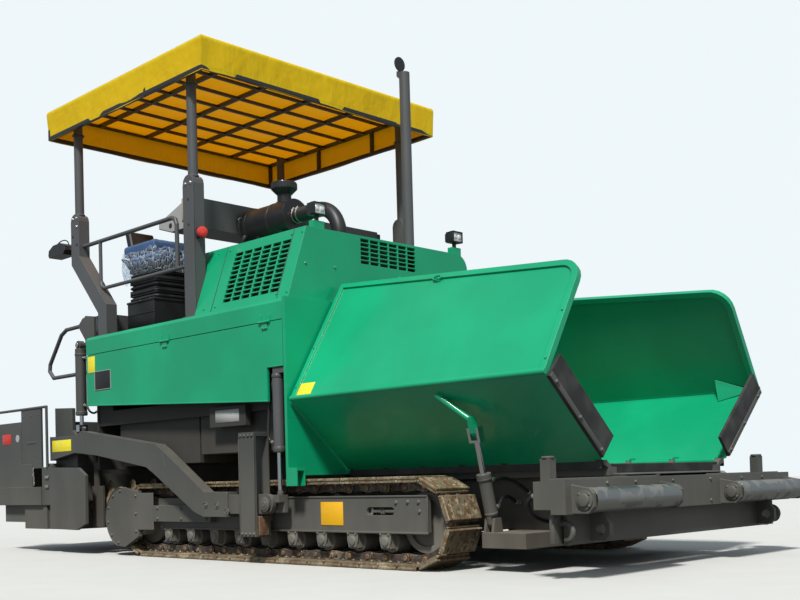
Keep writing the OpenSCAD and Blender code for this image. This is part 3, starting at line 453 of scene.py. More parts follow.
@dataclass(frozen=True)
class CoatedCloth:
    """Coated cloth with a fine weave, creases and light coming through."""

    name: str
    top: Colour = (0.96, 0.68, 0.004)
    through: Colour = (0.95, 0.34, 0.002)
    share: float = 0.25

    def make(self) -> bpy.types.Material:
        """Builds the material."""
        sheet = Sheet(self.name)
        weave, weft, drop = (sheet.wave(way, 90.0) for way in "XYZ")
        crease = sheet.noise(5.0, 5.0, (1.0, 1.3, 0.7))
        soil = sheet.noise(2.3, 5.0).ramp(0.5, 0.8) * 0.18
        hem = sheet.axis(Axis.Z)
        stitched = ((hem > 3.600) - (hem > 3.603)) * (sheet.noise(60.0, 0.0) > 0.45)
        colour = sheet.mix(soil, self.top, (0.62, 0.36, 0.03))
        colour = sheet.mix(stitched * 0.7, colour, (0.5, 0.28, 0.0))
        bumps = sheet.bump(weave + weft + drop, 0.00025, sheet.bump(crease, 0.02))
        face = sheet.surface(Base_Color=colour, Roughness=0.52 + soil, Specular_IOR_Level=0.35, Normal=bumps)
        glow = sheet.node("ShaderNodeBsdfTranslucent", inputs={"Color": self.through, "Normal": bumps})
        return sheet.close(sheet.node("ShaderNodeMixShader", inputs={0: self.share, 1: face, 2: glow}))


@dataclass(frozen=True)
class Vinyl:
    """Grained vinyl over foam."""

    name: str
    colour: Colour

    def make(self) -> bpy.types.Material:
        """Builds the material."""
        sheet = Sheet(self.name)
        grain = sheet.cells(520.0, "DISTANCE_TO_EDGE")
        cloud = sheet.noise(9.0, 4.0).ramp(0.4, 0.7)
        light = tuple(part * 1.35 for part in self.colour)
        return sheet.close(
            sheet.surface(
                Base_Color=sheet.mix(cloud * 0.5, self.colour, light),
                Roughness=0.48 + cloud * 0.1,
                Normal=sheet.bump(grain.ramp(0.0, 0.2), 0.0004, sheet.bump(sheet.noise(14.0, 4.0), 0.004)),
            )
        )


@dataclass(frozen=True)
class Film:
    """Thin crumpled wrapping film, clear with a blue cast."""

    name: str
    colour: Colour = (0.72, 0.84, 0.95)

    def make(self) -> bpy.types.Material:
        """Builds the material."""
        sheet = Sheet(self.name)
        crumple = sheet.cells(24.0, "DISTANCE_TO_EDGE", (1.0, 1.6, 0.7))
        fine = sheet.noise(70.0, 5.0)
        folds = sheet.bump(crumple.ramp(0.0, 0.25) + fine * 0.5, 0.02)
        fold_light = crumple.ramp(0.10, 0.0) * 0.35 + fine.ramp(0.5, 0.75) * 0.15 + 0.16
        face = sheet.surface(Base_Color=self.colour, Roughness=0.16, Coat_Weight=1.0, Normal=folds)
        clear = sheet.node("ShaderNodeBsdfTransparent", inputs={"Color": (0.9, 0.95, 1.0)})
        return sheet.close(sheet.node("ShaderNodeMixShader", inputs={0: fold_light, 1: clear, 2: face}))


@dataclass(frozen=True)
class Reflector:
    """A prismatic marker, bright, with a faint painted glow: it emits its own colour to stand in for the
    daylight that it throws back.
    """

    name: str
    colour: Colour
    # glow is the strength of the painted glow, an emission though the marker is no lamp.
    glow: float = 0.12

    def make(self) -> bpy.types.Material:
        """Builds the material."""
        sheet = Sheet(self.name)
        prisms = sheet.cells(260.0, "DISTANCE_TO_EDGE")
        deep = tuple(part * 0.82 for part in self.colour)
        return sheet.close(
            sheet.surface(
                Base_Color=sheet.mix(prisms.ramp(0.0, 0.12), deep, self.colour),
                Roughness=0.28 + sheet.noise(12.0) * 0.1,
                Coat_Weight=0.8,
                # Painted glow: the marker emits its own colour.
                Emission_Color=self.colour,
                Emission_Strength=self.glow,
                Normal=sheet.bump(prisms.ramp(0.0, 0.15), 0.0005),
            )
        )


@dataclass(frozen=True)
class Glass:
    """A lens or mirror face: smooth, with faint smears."""

    name: str
    colour: Colour = (0.85, 0.88, 0.88)
    metal: float = 1.0
    rough: float = 0.05
    ribs: float = 0.0

    def make(self) -> bpy.types.Material:
        """Builds the material."""
        sheet = Sheet(self.name)
        smear = sheet.noise(18.0, 4.0).ramp(0.5, 0.8)
        ribs = sheet.wave("Y", 28.0)
        dusty = tuple(part * 0.8 for part in self.colour)
        return sheet.close(
            sheet.surface(
                Base_Color=sheet.mix(smear * 0.5, self.colour, dusty),
                Metallic=self.metal,
                Roughness=self.rough + smear * 0.12,
                Coat_Weight=1.0,
                Normal=sheet.bump(ribs, 0.002 * self.ribs),
            )
        )


class Finishes:
    """Every finish of the machine, made once."""

    def __init__(self) -> None:
        """Makes the materials."""
        self.green = Enamel(
            "green_enamel", (0.0, 0.365, 0.168), rough=0.3, coat=0.3, dust=0.04, wear=0.12
        ).make()
        grey = (0.070, 0.074, 0.068)
        self.dark = Enamel(
            "dark_enamel", grey, rough=0.42, coat=0.12, dust=0.34, dust_top=1.0, wear=0.5
        ).make()
        self.post = Enamel(
            "post_enamel", (0.085, 0.088, 0.092), rough=0.42, coat=0.1, dust=0.2, wear=0.4
        ).make()
        self.black = Enamel(
            "black_enamel", (0.016, 0.018, 0.019), rough=0.38, coat=0.2, dust=0.18, wear=0.3
        ).make()
        self.inner = Enamel(
            "inner_steel", (0.03, 0.03, 0.028), rough=0.6, coat=0.0, dust=0.5, wear=0.2
        ).make()
        self.track = WornSteel("track_steel").make()
        self.auger = WornSteel("auger_steel", muddy=0.3, metal=0.7).make()
        self.rusty = WornSteel("rusty_steel", steel=(0.17, 0.09, 0.05), muddy=0.4, metal=0.2).make()
        self.hub = Enamel(
            "roller_block_enamel", (0.12, 0.12, 0.11), rough=0.5, coat=0.0, dust=0.5, wear=0.5
        ).make()
        self.chrome = Turned("plated_rod", (0.72, 0.72, 0.74), rough=0.1).make()
        self.zinc = Turned("zinc_fitting", (0.62, 0.60, 0.55), rough=0.3, scuff=0.3).make()
        self.roller = Turned("rolled_steel", (0.40, 0.41, 0.39), rough=0.3, marks=0.0004, scuff=0.8).make()
        self.rubber = Rubber("flap_rubber").make()
        self.hose = Rubber("hose_rubber", (0.012, 0.012, 0.013), rough=0.45, dust=0.12).make()
        self.bellows = Rubber("bellows_rubber", (0.014, 0.014, 0.015), rough=0.5, dust=0.15).make()
        self.plastic = Rubber("black_plastic", (0.014, 0.014, 0.016), rough=0.4, dust=0.1).make()
        self.cloth = CoatedCloth("canopy_cloth").make()
        self.vinyl = Vinyl("seat_vinyl", (0.05, 0.11, 0.24)).make()
        self.film = Film("wrapping_film").make()
        # The markers and labels carry a painted glow; the red one's is fainter.
        self.amber = Reflector("amber_marker", (0.95, 0.50, 0.0)).make()
        self.yellow = Reflector("yellow_marker", (0.93, 0.80, 0.02)).make()
        self.red = Reflector("red_marker", (0.70, 0.015, 0.005), glow=0.05).make()
        self.lens = Glass("lamp_lens", (0.86, 0.90, 0.88), metal=0.3, rough=0.08, ribs=1.0).make()
        self.mirror = Glass("mirror_face", (0.8, 0.82, 0.84)).make()
        self.chain = WornSteel(
            "chain_steel", steel=(0.11, 0.10, 0.09), rust=(0.10, 0.06, 0.035), muddy=0.35
        ).make()
        self.mud = WornSteel(
            "dried_mud", steel=(0.24, 0.20, 0.14), rust=(0.2, 0.15, 0.1), muddy=1.0, metal=0.0
        ).make()
        self.pale = Enamel("pale_enamel", (0.42, 0.43, 0.42), rough=0.4, coat=0.1, dust=0.15, wear=0.2).make()
        self.beige = Enamel(
            "beige_enamel", (0.50, 0.42, 0.30), rough=0.45, coat=0.1, dust=0.1, wear=0.1
        ).make()
        self.dial = Glass("dial_face", (0.55, 0.58, 0.56), metal=0.0, rough=0.15).make()


class Form:
    """Gathers shapes into one mesh."""

    def __init__(self) -> None:
        """Starts with an empty mesh."""
        self.mesh = bmesh.new()

    def block(
        self, low: Sequence[float], high: Sequence[float], edge: float = 0.0, turn: Matrix | None = None
    ) -> None:
        """Adds a box with rounded edges.

        Args:
            low: Its lowest corner.
            high: Its highest corner.
            edge: How far its edges are rounded.
            turn: Turns or moves the box after it is made.
        """
        low_v, high_v = Vector(low), Vector(high)
        made = bmesh.ops.create_cube(self.mesh, size=1.0)["verts"]
        for vert in made:
            vert.co = Vector(
                (low_v[i] + high_v[i]) / 2 + vert.co[i] * (high_v[i] - low_v[i]) for i in range(3)
            )
        if turn is not None:
            bmesh.ops.transform(self.mesh, matrix=turn, verts=made)
        if edge > 0.0:
            lines = list({line for vert in made for line in vert.link_edges})
            bmesh.ops.bevel(self.mesh, geom=lines, offset=edge, segments=2, affect="EDGES", profile=0.5)

    def prism(
        self, outline: Sequence[tuple[float, float]], axis: Axis, low: float, high: float, edge: float = 0.0
    ) -> None:
        """Adds an outline drawn square to an axis, as thick as from low to high.

        Args:
            outline: Its corners on the other two axes, in their order.
            axis: The axis that it is thick along.
            low: Where it starts.
            high: Where it ends.
            edge: How far its edges are rounded.
        """

        def lift(pair: tuple[float, float], height: float) -> Vector:
            """The point of a corner at a height along the axis."""
            spots = list(pair)
            spots.insert(axis.value, height)
            return Vector(spots)

        rings = [[self.mesh.verts.new(lift(pair, height)) for pair in outline] for height in (low, high)]
        self.join(rings, caps=True)
        if edge > 0.0:
            lines = list({line for ring in rings for vert in ring for line in vert.link_edges})
            bmesh.ops.bevel(self.mesh, geom=lines, offset=edge, segments=1, affect="EDGES", profile=0.5)

    def join(
        self, rings: Sequence[Sequence[bmesh.types.BMVert]], caps: bool = False, closed: bool = False
    ) -> None:
        """Joins rings of points by faces, with flat ends or end to end."""
        count = len(rings[0])
        pairs = list(zip(rings, rings[1:]))
        if closed:
            pairs.append((rings[-1], rings[0]))
        for first, second in pairs:
            for i in range(count):
                j = (i + 1) % count
                self.mesh.faces.new((first[i], first[j], second[j], second[i]))
        if caps:
            self.mesh.faces.new(list(reversed(rings[0])))
            self.mesh.faces.new(rings[-1])

    def turned(
        self, profile: Sequence[tuple[float, float]], foot: Sequence[float], along: Sequence[float],
        sides: int = 24,
    ) -> None:
        """Adds a turned shape.

        Args:
            profile: Pairs of radius and height along the axis.
            foot: Where the axis starts.
            along: The way it points.
            sides: Faces round it.
        """
        turn = Vector(along).to_track_quat("Z", "Y").to_matrix()
        start = Vector(foot)
        rings = []
        for radius, height in profile:
            ring = []
            for i in range(sides):
                angle = 2 * math.pi * i / sides
                spot = Vector((radius * math.cos(angle), radius * math.sin(angle), height))
                ring.append(self.mesh.verts.new(start + turn @ spot))
            rings.append(ring)
        self.join(rings, caps=True)

    def rod(self, start: Sequence[float], end: Sequence[float], radius: float, sides: int = 16) -> None:
        """Adds a round bar with softened ends."""
        along = Vector(end) - Vector(start)
        soft = min(radius * 0.15, along.length * 0.2)
        profile = [
            (radius - soft, 0.0), (radius, soft), (radius, along.length - soft),
            (radius - soft, along.length),
        ]
        self.turned(profile, start, along, sides)

    def sweep(
        self, path: Sequence[Sequence[float]], radius: float | Callable[[float], float], sides: int = 12,
        closed: bool = False,
    ) -> None:
        """Adds a tube along a path.

        Args:
            path: The points that it follows.
            radius: Its radius, or a function of the share of the way.
            sides: Faces round it.
            closed: Whether its ends meet.
        """
        spots = [Vector(p) for p in path]
        rings = []
        frame = None
        for i, spot in enumerate(spots):
            before = spots[i - 1] if i or closed else spot
            after = spots[(i + 1) % len(spots)] if i + 1 < len(spots) or closed else spot
            along = (after - before).normalized()
            if frame is None:
                helper = Vector((0, 0, 1)) if abs(along.z) < 0.9 else Vector((1, 0, 0))
                frame = along.cross(helper).normalized()
            frame = (frame - along * frame.dot(along)).normalized()
            other = along.cross(frame)
            size = radius(i / (len(spots) - 1)) if callable(radius) else radius
            ring = []
            for k in range(sides):
                angle = 2 * math.pi * k / sides
                ring.append(
                    self.mesh.verts.new(spot + (frame * math.cos(angle) + other * math.sin(angle)) * size)
                )
            rings.append(ring)
        self.join(rings, caps=not closed, closed=closed)

    def bolt(self, spot: Sequence[float], out: Sequence[float], size: float = 0.012) -> None:
        """Adds a washer and a hexagon head."""
        start = Vector(spot) - Vector(out).normalized() * size * 0.2
        self.turned(
            [(size * 1.35, 0.0), (size * 1.35, size * 0.35), (size * 1.2, size * 0.42)], start, out, 16
        )
        head = [(size, size * 0.3), (size, size * 0.9), (size * 0.82, size * 1.05)]
        self.turned(head, start, out, 6)

    def piece(
        self,
        name: str,
        body: str,
        material: bpy.types.Material,
        slot: str,
        angle: float = 35.0,
        turn: Matrix | None = None,
    ) -> bpy.types.Object:
        """Ends the mesh in one piece that rides on a body.

        Args:
            name: The piece's name.
            body: The body that it rides on.
            material: Its finish.
            slot: The record's slot that the finish belongs to; it is not used.
            angle: Edges sharper than this stay sharp, in degrees.
            turn: Turns or moves the whole piece.

        Returns:
            The new object.
        """
        if turn is not None:
            bmesh.ops.transform(self.mesh, matrix=turn, verts=self.mesh.verts)
        bmesh.ops.recalc_face_normals(self.mesh, faces=self.mesh.faces)
        data = bpy.data.meshes.new(name)
        self.mesh.to_mesh(data)
        self.mesh.free()
        data.polygons.foreach_set("use_smooth", [True] * len(data.polygons))
        data.set_sharp_from_angle(angle=math.radians(angle))
        data.materials.append(material)
        made = bpy.data.objects.new(name, data)
        bpy.context.scene.collection.objects.link(made)
        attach(made, body)
        LOG.info("%s rides on %s, %d faces", name, body, len(data.polygons))
        return made

    def sided(
        self, name: str, body: str, material: bpy.types.Material, slot: str, side: Side, angle: float = 35.0
    ) -> bpy.types.Object:
        """Ends a mesh drawn on the left in the piece of one side.

        Args:
            name: The piece's name without its side.
            body: The body that it rides on.
            material: Its finish.
            slot: The record's slot that the finish belongs to; it is only passed on to piece, which does not
                use it.
            side: The side that the piece is for.
            angle: Edges sharper than this stay sharp, in degrees.

        Returns:
            The new object.
        """
        return self.piece(f"{name}_{side.word}", body, material, slot, angle, flipped(side))


def flipped(side: Side) -> Matrix:
    """The matrix that brings a shape drawn on the left to one side."""
    return Matrix.Diagonal((1.0, side.value, 1.0, 1.0))


def each_side(looks: "Finishes", *makers: Callable[["Finishes", Side], None]) -> None:
    """Lets each maker make its pieces, first all on one side, then all on the other."""
    for side in Side:
        for maker in makers:
            maker(looks, side)


def band(inner: float, outer: float, soft: float, tall: float) -> list[tuple[float, float]]:
    """The profile of a band whose two edges slope from its outer radius to its inner one."""
    return [(inner, 0.0), (outer, soft), (outer, tall - soft), (inner, tall)]


class Carried:
    """The nodes that keep their shape and get their finish here."""

    def __init__(self, frame: dict, looks: Finishes) -> None:
        """Keeps the frame and the finishes."""
        self.nodes = frame["nodes"]
        self.looks = looks

    def dress(self) -> None:
        """Gives each node its material."""
        looks = self.looks
        groups: dict[bpy.types.Material, str] = {
            looks.green: "hopper_back hopper_cheeks hood side_sills wing_right wing_left side_door_right "
            "side_door_left",
            looks.dark: "track_frames front_beam hopper_sills arm_guides tow_points tow_arms screed_frame "
            "screed_plate screed_extension_right screed_extension_left drive_guards wing_barrel_right "
            "wing_barrel_left lift_barrels platform",
            looks.post: "canopy_posts handrails exhaust_pipe console levelling_barrels",
            # Painted shade: canopy_frame takes the black enamel so that its bars look as dark as the shade
            # under the cover makes them.
            looks.black: "canopy_frame rain_cap work_lamps mirrors seat_bases",
            looks.inner: "main_frame cross_boxes cylinder_feet deck_legs deck_beams deck_rails tunnel_walls "
            "rear_wall engine_block conveyor side_tanks",
            looks.track: "track_right track_left",
            looks.hub: "track_wheels",
            looks.auger: "auger_right auger_left",
            looks.chrome: "wing_rod_right wing_rod_left lift_rods",
            looks.roller: "push_roller_right push_roller_left",
            looks.rubber: "wing_flap_right wing_flap_left",
            looks.hose: "intake_hose",
            looks.cloth: "canopy_cover",
            looks.plastic: "air_cleaner",
            looks.vinyl: "seats",
        }
        for material, names in groups.items():
            for name in names.split():
                data = self.nodes[name].data
                data.materials.clear()
                data.materials.append(material)
                LOG.info("%s is finished in %s", name, material.name)


@dataclass
class Canopy:
    """The cloth cover, one sheet over the bars with its valance hanging all round."""

    rear: float = -2.265
    front: float = 0.022
    half: float = 1.245
    top: float = 3.834
    hem: float = 3.577
    turn: float = 0.03
    bars_x: int = 8
    bars_y: int = 5

    def sag(self, x: float, y: float) -> float:
        """How far the cloth hangs between the bars at a place."""
        share_x = (x - self.rear) / (self.front - self.rear) * self.bars_x
        share_y = (y + self.half) / (2 * self.half) * self.bars_y
        wave = abs(math.sin(math.pi * share_x)) * abs(math.sin(math.pi * share_y))
        return 0.007 * wave

    def build(self, looks: Finishes) -> None:
        """Makes the sheet and hides the plain one."""
        form = Form()
        cols, rows, drops, bends = 96, 100, 12, 4
        x0, x1 = self.rear + self.turn, self.front - self.turn
        y1 = self.half - self.turn
        grid = []
        for j in range(rows + 1):
            row = []
            for i in range(cols + 1):
                x = x0 + (x1 - x0) * i / cols
                y = -y1 + 2 * y1 * j / rows
                row.append(form.mesh.verts.new((x, y, self.top - self.sag(x, y))))
            grid.append(row)
        for first, second in zip(grid, grid[1:]):
            for i in range(cols):
                form.mesh.faces.new((first[i], first[i + 1], second[i + 1], second[i]))
        ring = [(grid[0][i], Vector((0, -1, 0))) for i in range(1, cols)]
        ring.insert(0, (grid[0][0], Vector((-1, -1, 0))))
        ring.append((grid[0][cols], Vector((1, -1, 0))))
        ring += [(grid[j][cols], Vector((1, 0, 0))) for j in range(1, rows)]
        ring.append((grid[rows][cols], Vector((1, 1, 0))))
        ring += [(grid[rows][i], Vector((0, 1, 0))) for i in range(cols - 1, 0, -1)]
        ring.append((grid[rows][0], Vector((-1, 1, 0))))
        ring += [(grid[j][0], Vector((-1, 0, 0))) for j in range(rows - 1, 0, -1)]
        dice = random.Random(4)
        phases = [dice.uniform(0, 6.28) for _ in range(6)]
        last = [vert for vert, _ in ring]
        for k in range(1, bends + drops + 1):
            level = []
            for vert, out in ring:
                base = Vector((vert.co.x, vert.co.y, self.top))
                if k <= bends:
                    angle = math.pi / 2 * k / bends
                    spot = base + out * self.turn * math.sin(angle)
                    spot.z -= self.turn * (1 - math.cos(angle))
                else:
                    share = (k - bends) / drops
                    run = base.x * 1.0 + base.y * 1.3
                    wave = sum(math.sin(run * (4.5 + 3.1 * n) + phases[n]) / (1 + n) for n in range(4))
                    spot = base + out * (self.turn - 0.012 * share + 0.0045 * wave * share)
                    spot.z = self.top - self.turn - (self.top - self.turn - self.hem) * share
                    spot.z += 0.004 * share * math.sin(run * 6.3 + phases[5])
                level.append(form.mesh.verts.new(spot))
            for i in range(len(ring)):
                j = (i + 1) % len(ring)
                form.mesh.faces.new((last[i], last[j], level[j], level[i]))
            last = level
        cover = form.piece("canopy_cloth", "chassis", looks.cloth, "canopy_fabric", angle=60)
        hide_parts("canopy_cover")


def smooth(points: Sequence[Sequence[float]], steps: int = 6) -> list[Vector]:
    """A smooth line through points.

    Args:
        points: The points that it passes.
        steps: How many places it has from one point to the next.

    Returns:
        The places along the line.
    """
    spots = [Vector(p) for p in points]
    spots = [2 * spots[0] - spots[1], *spots, 2 * spots[-1] - spots[-2]]
    line = []
    for a, b, c, d in zip(spots, spots[1:], spots[2:], spots[3:]):
        for k in range(steps):
            t = k / steps
            line.append(
                (
                    (2 * b) + (c - a) * t + (
                        2 * a - 5 * b + 4 * c - d
                    ) * t**2 + (3 * b - a - 3 * c + d) * t**3
                ) / 2
            )
    return [*line, spots[-2]]


def turn_to(spot: Sequence[float], ahead: Sequence[float], up: Sequence[float]) -> Matrix:
    """The matrix that brings X to ahead and Z to up, at a spot."""
    first = Vector(ahead).normalized()
    third = Vector(up).normalized()
    turned = Matrix((first, third.cross(first), third)).transposed()
    return Matrix.Translation(spot) @ turned.to_4x4()


@dataclass(frozen=True)
class Hose:
    """A hydraulic hose from one port to another, with a crimped fitting at each end."""

    name: str
    body: str
    route: tuple[Point, ...]
    radius: float = 0.011

    def build(self, looks: Finishes, side: Side, onto: str | None = None) -> bpy.types.Object:
        """Makes the hose and its fittings.

        Args:
            looks: The finishes.
            side: The side that it lies on. The route is drawn on the left.
            onto: The body at its far end, where that is another one.

        Returns:
            The hose.
        """
        line = [flipped(side) @ spot for spot in smooth(self.route)]
        form = Form()
        form.sweep(line, self.radius, sides=12)
        length = sum((b - a).length for a, b in zip(line, line[1:]))
        for place, spots, body in (("near", line[:3], self.body), ("far", line[:-4:-1], onto or self.body)):
            tip = Form()
            out = (spots[1] - spots[0]).normalized()
            size = self.radius
            tip.turned([(size * 1.5, 0), (size * 1.5, size * 1.1)], spots[0] - out * size * 0.6, out, 6)
            crimp = [
                (size * 1.1, 0), (size * 1.3, size * 0.3), (size * 1.3, size * 2.6),
                (size * 1.12, size * 2.9),
            ]
            tip.turned(crimp, spots[0] + out * size * 0.4, out, 16)
            tip.piece(f"{self.name}_{place}_fitting_{side.word}", body, looks.zinc, "bright_rod")
        hose = form.piece(f"{self.name}_{side.word}", self.body, looks.hose, "hose_rubber", angle=60)
        if onto is not None:
            hose.parent = None
            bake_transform(hose)
        self.radius * 2
        return hose


@dataclass
class Track:
    """One track: forty-four pressed shoes on a chain of links and pins."""

    side: Side
    width: float = 0.300
    thick: float = 0.038
    gap: float = 0.012
    pin_deep: float = 0.069
    boss: float = 0.031
    base: float = IDLER_X - SPROCKET_X

    @property
    def pitch(self) -> float:
        """The distance between two pins."""
        return 2 * (self.base + math.pi * (TRACK_R - self.pin_deep)) / SHOES

    def place(self, along: float, deep: float) -> Vector:
        """A place on the line that runs a given depth inside the loop's face, some way along that line."""
        radius = TRACK_R - deep
        half = math.pi * radius
        run = along % (2 * self.base + 2 * half)
        if run < self.base:
            return Vector((SPROCKET_X + run, TRACK_Y, TRACK_R + radius))
        if run < self.base + half:
            angle = math.pi / 2 - (run - self.base) / radius
            return Vector((IDLER_X + radius * math.cos(angle), TRACK_Y, TRACK_R + radius * math.sin(angle)))
        if run < 2 * self.base + half:
            return Vector((IDLER_X - (run - self.base - half), TRACK_Y, TRACK_R - radius))
        angle = 3 * math.pi / 2 - (run - 2 * self.base - half) / radius
        return Vector((SPROCKET_X + radius * math.cos(angle), TRACK_Y, TRACK_R + radius * math.sin(angle)))

    def stretch(self, start: float, end: float, deep: float) -> tuple[Matrix, float]:
        """Where a straight piece of the loop lies, with X along it and Z outward, and how long it is."""
        first, last = self.place(start, deep), self.place(end, deep)
        ahead = last - first
        return turn_to((first + last) / 2, ahead, ahead.cross(Vector((0, 1, 0)))), ahead.length

    def pad(self, form: Form, turn: Matrix, length: float, dice: random.Random) -> None:
        """Adds the face of a shoe, with its eight oval pockets.

        Args:
            form: Where the shoe goes.
            turn: Where the shoe lies.
            length: The shoe's length along the track.
            dice: Varies each shoe a little.
        """
        soft = 0.004
        half_u, half_w = length / 2 - soft, self.width / 2 - soft
        deep = 0.011 + dice.uniform(-0.001, 0.001)
        cells_u, cells_w, count = 2, 4, 16
        cell_u, cell_w = half_u / cells_u, half_w / cells_w
        for i in range(cells_u):
            for j in range(cells_w):
                centre = Vector(((2 * i + 1) * cell_u - half_u, (2 * j + 1) * cell_w - half_w, 0))
                shift = 0.012 * (1 if j % 2 else -1)
                rings = []
                for reach_u, reach_w, height, is_rim in (
                    (1, 1, 0, True), (0.021, 0.0095, 0, False), (0.018, 0.007, -deep, False)
                ):
                    ring = []
                    for k in range(count):
                        angle = 2 * math.pi * k / count
                        c, s = math.cos(angle), math.sin(angle)
                        if is_rim:
                            most = max(abs(c), abs(s))
                            spot = Vector((cell_u * c / most, cell_w * s / most, height))
                        else:
                            spot = Vector((reach_u * c + shift, reach_w * s, height))
                        ring.append(form.mesh.verts.new(turn @ (centre + spot)))
                    rings.append(ring)
                form.join(rings)
                form.mesh.faces.new(rings[-1])
        skirt = []
        for inset, height in (
            (0.0, 0.0), (soft, -soft), (soft, -0.016), (-0.002, -0.019), (-0.002, -self.thick)
        ):
            u, w = half_u + inset, half_w + inset
            skirt.append(
                [
                    form.mesh.verts.new(turn @ Vector((a * u, b * w, height)))
                    for a, b in ((1, 1), (-1, 1), (-1, -1), (1, -1))
                ]
            )
        form.join(skirt)
        form.mesh.faces.new(skirt[-1])
        for end, reach in ((-1, 0.010), (1, 0.006)):
            edge = end * (length / 2 - 0.001)
            form.block(
                (min(edge, edge + end * reach), -half_w, -self.thick),
                (max(edge, edge + end * reach), half_w, -0.022), 0.002, turn,
            )

    def link(self, form: Form, turn: Matrix, length: float, wide: float) -> None:
        """Adds the two plates of a link, with a boss round each pin and a window above its waist."""
        outline = []
        for centre, start in ((length / 2, 90), (-length / 2, 270)):
            for step in range(0, 181, 30):
                angle = math.radians(start - step)
                outline.append((centre + self.boss * math.cos(angle), self.boss * math.sin(angle)))
            outline.append((centre * 0.3, -math.copysign(0.021, centre)))
            outline.append((-centre * 0.3, -math.copysign(0.021, centre)))
        for low in (wide, -wide - 0.017):
            rings = [
                [form.mesh.verts.new(turn @ Vector((u, w, h))) for u, h in outline]
                for w in (low, low + 0.017)
            ]
            form.join(rings)
            form.mesh.faces.new(rings[0])
            form.mesh.faces.new(rings[1])

    def build(self, looks: Finishes) -> None:
        """Makes the shoes and the chain, and hides the plain loop."""
        dice = random.Random(10 + self.side.value)
        shoes, chain, pins = Form(), Form(), Form()
        for i in range(SHOES):
            start = i * self.pitch
            turn, length = self.stretch(start, start + self.pitch, self.pin_deep)
            outward = Matrix.Translation((0, 0, self.pin_deep - 0.0005))
            self.pad(shoes, turn @ outward, self.pitch - self.gap, dice)
            self.link(chain, turn, length, 0.048 if i % 2 else 0.031)
            chain.block((-0.052, -0.088, 0.024), (0.052, 0.088, self.boss), 0.002, turn)
            inward = turn.to_3x3() @ Vector((0, 0, -1))
            for u in (-0.034, 0.034):
                for w in (-0.077, 0.077):
                    chain.bolt(turn @ Vector((u, w, 0.024)), inward, 0.008)
            spot = self.place(start, self.pin_deep)
            across = Vector((0, 1, 0))
            pins.rod(spot - across * 0.073, spot + across * 0.073, 0.017)
            chain.rod(spot - across * 0.031, spot + across * 0.031, 0.025)
        turn = flipped(self.side)
        body = "chassis"
        cover = shoes.piece(
            f"track_shoes_{self.side.word}", body, looks.track, "track_steel", angle=30, turn=turn
        )
        chain.piece(f"track_chain_{self.side.word}", body, looks.chain, "track_steel", angle=40, turn=turn)
        pins.piece(f"track_pins_{self.side.word}", body, looks.rusty, "track_steel", turn=turn)
        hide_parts(f"track_{self.side.word}")


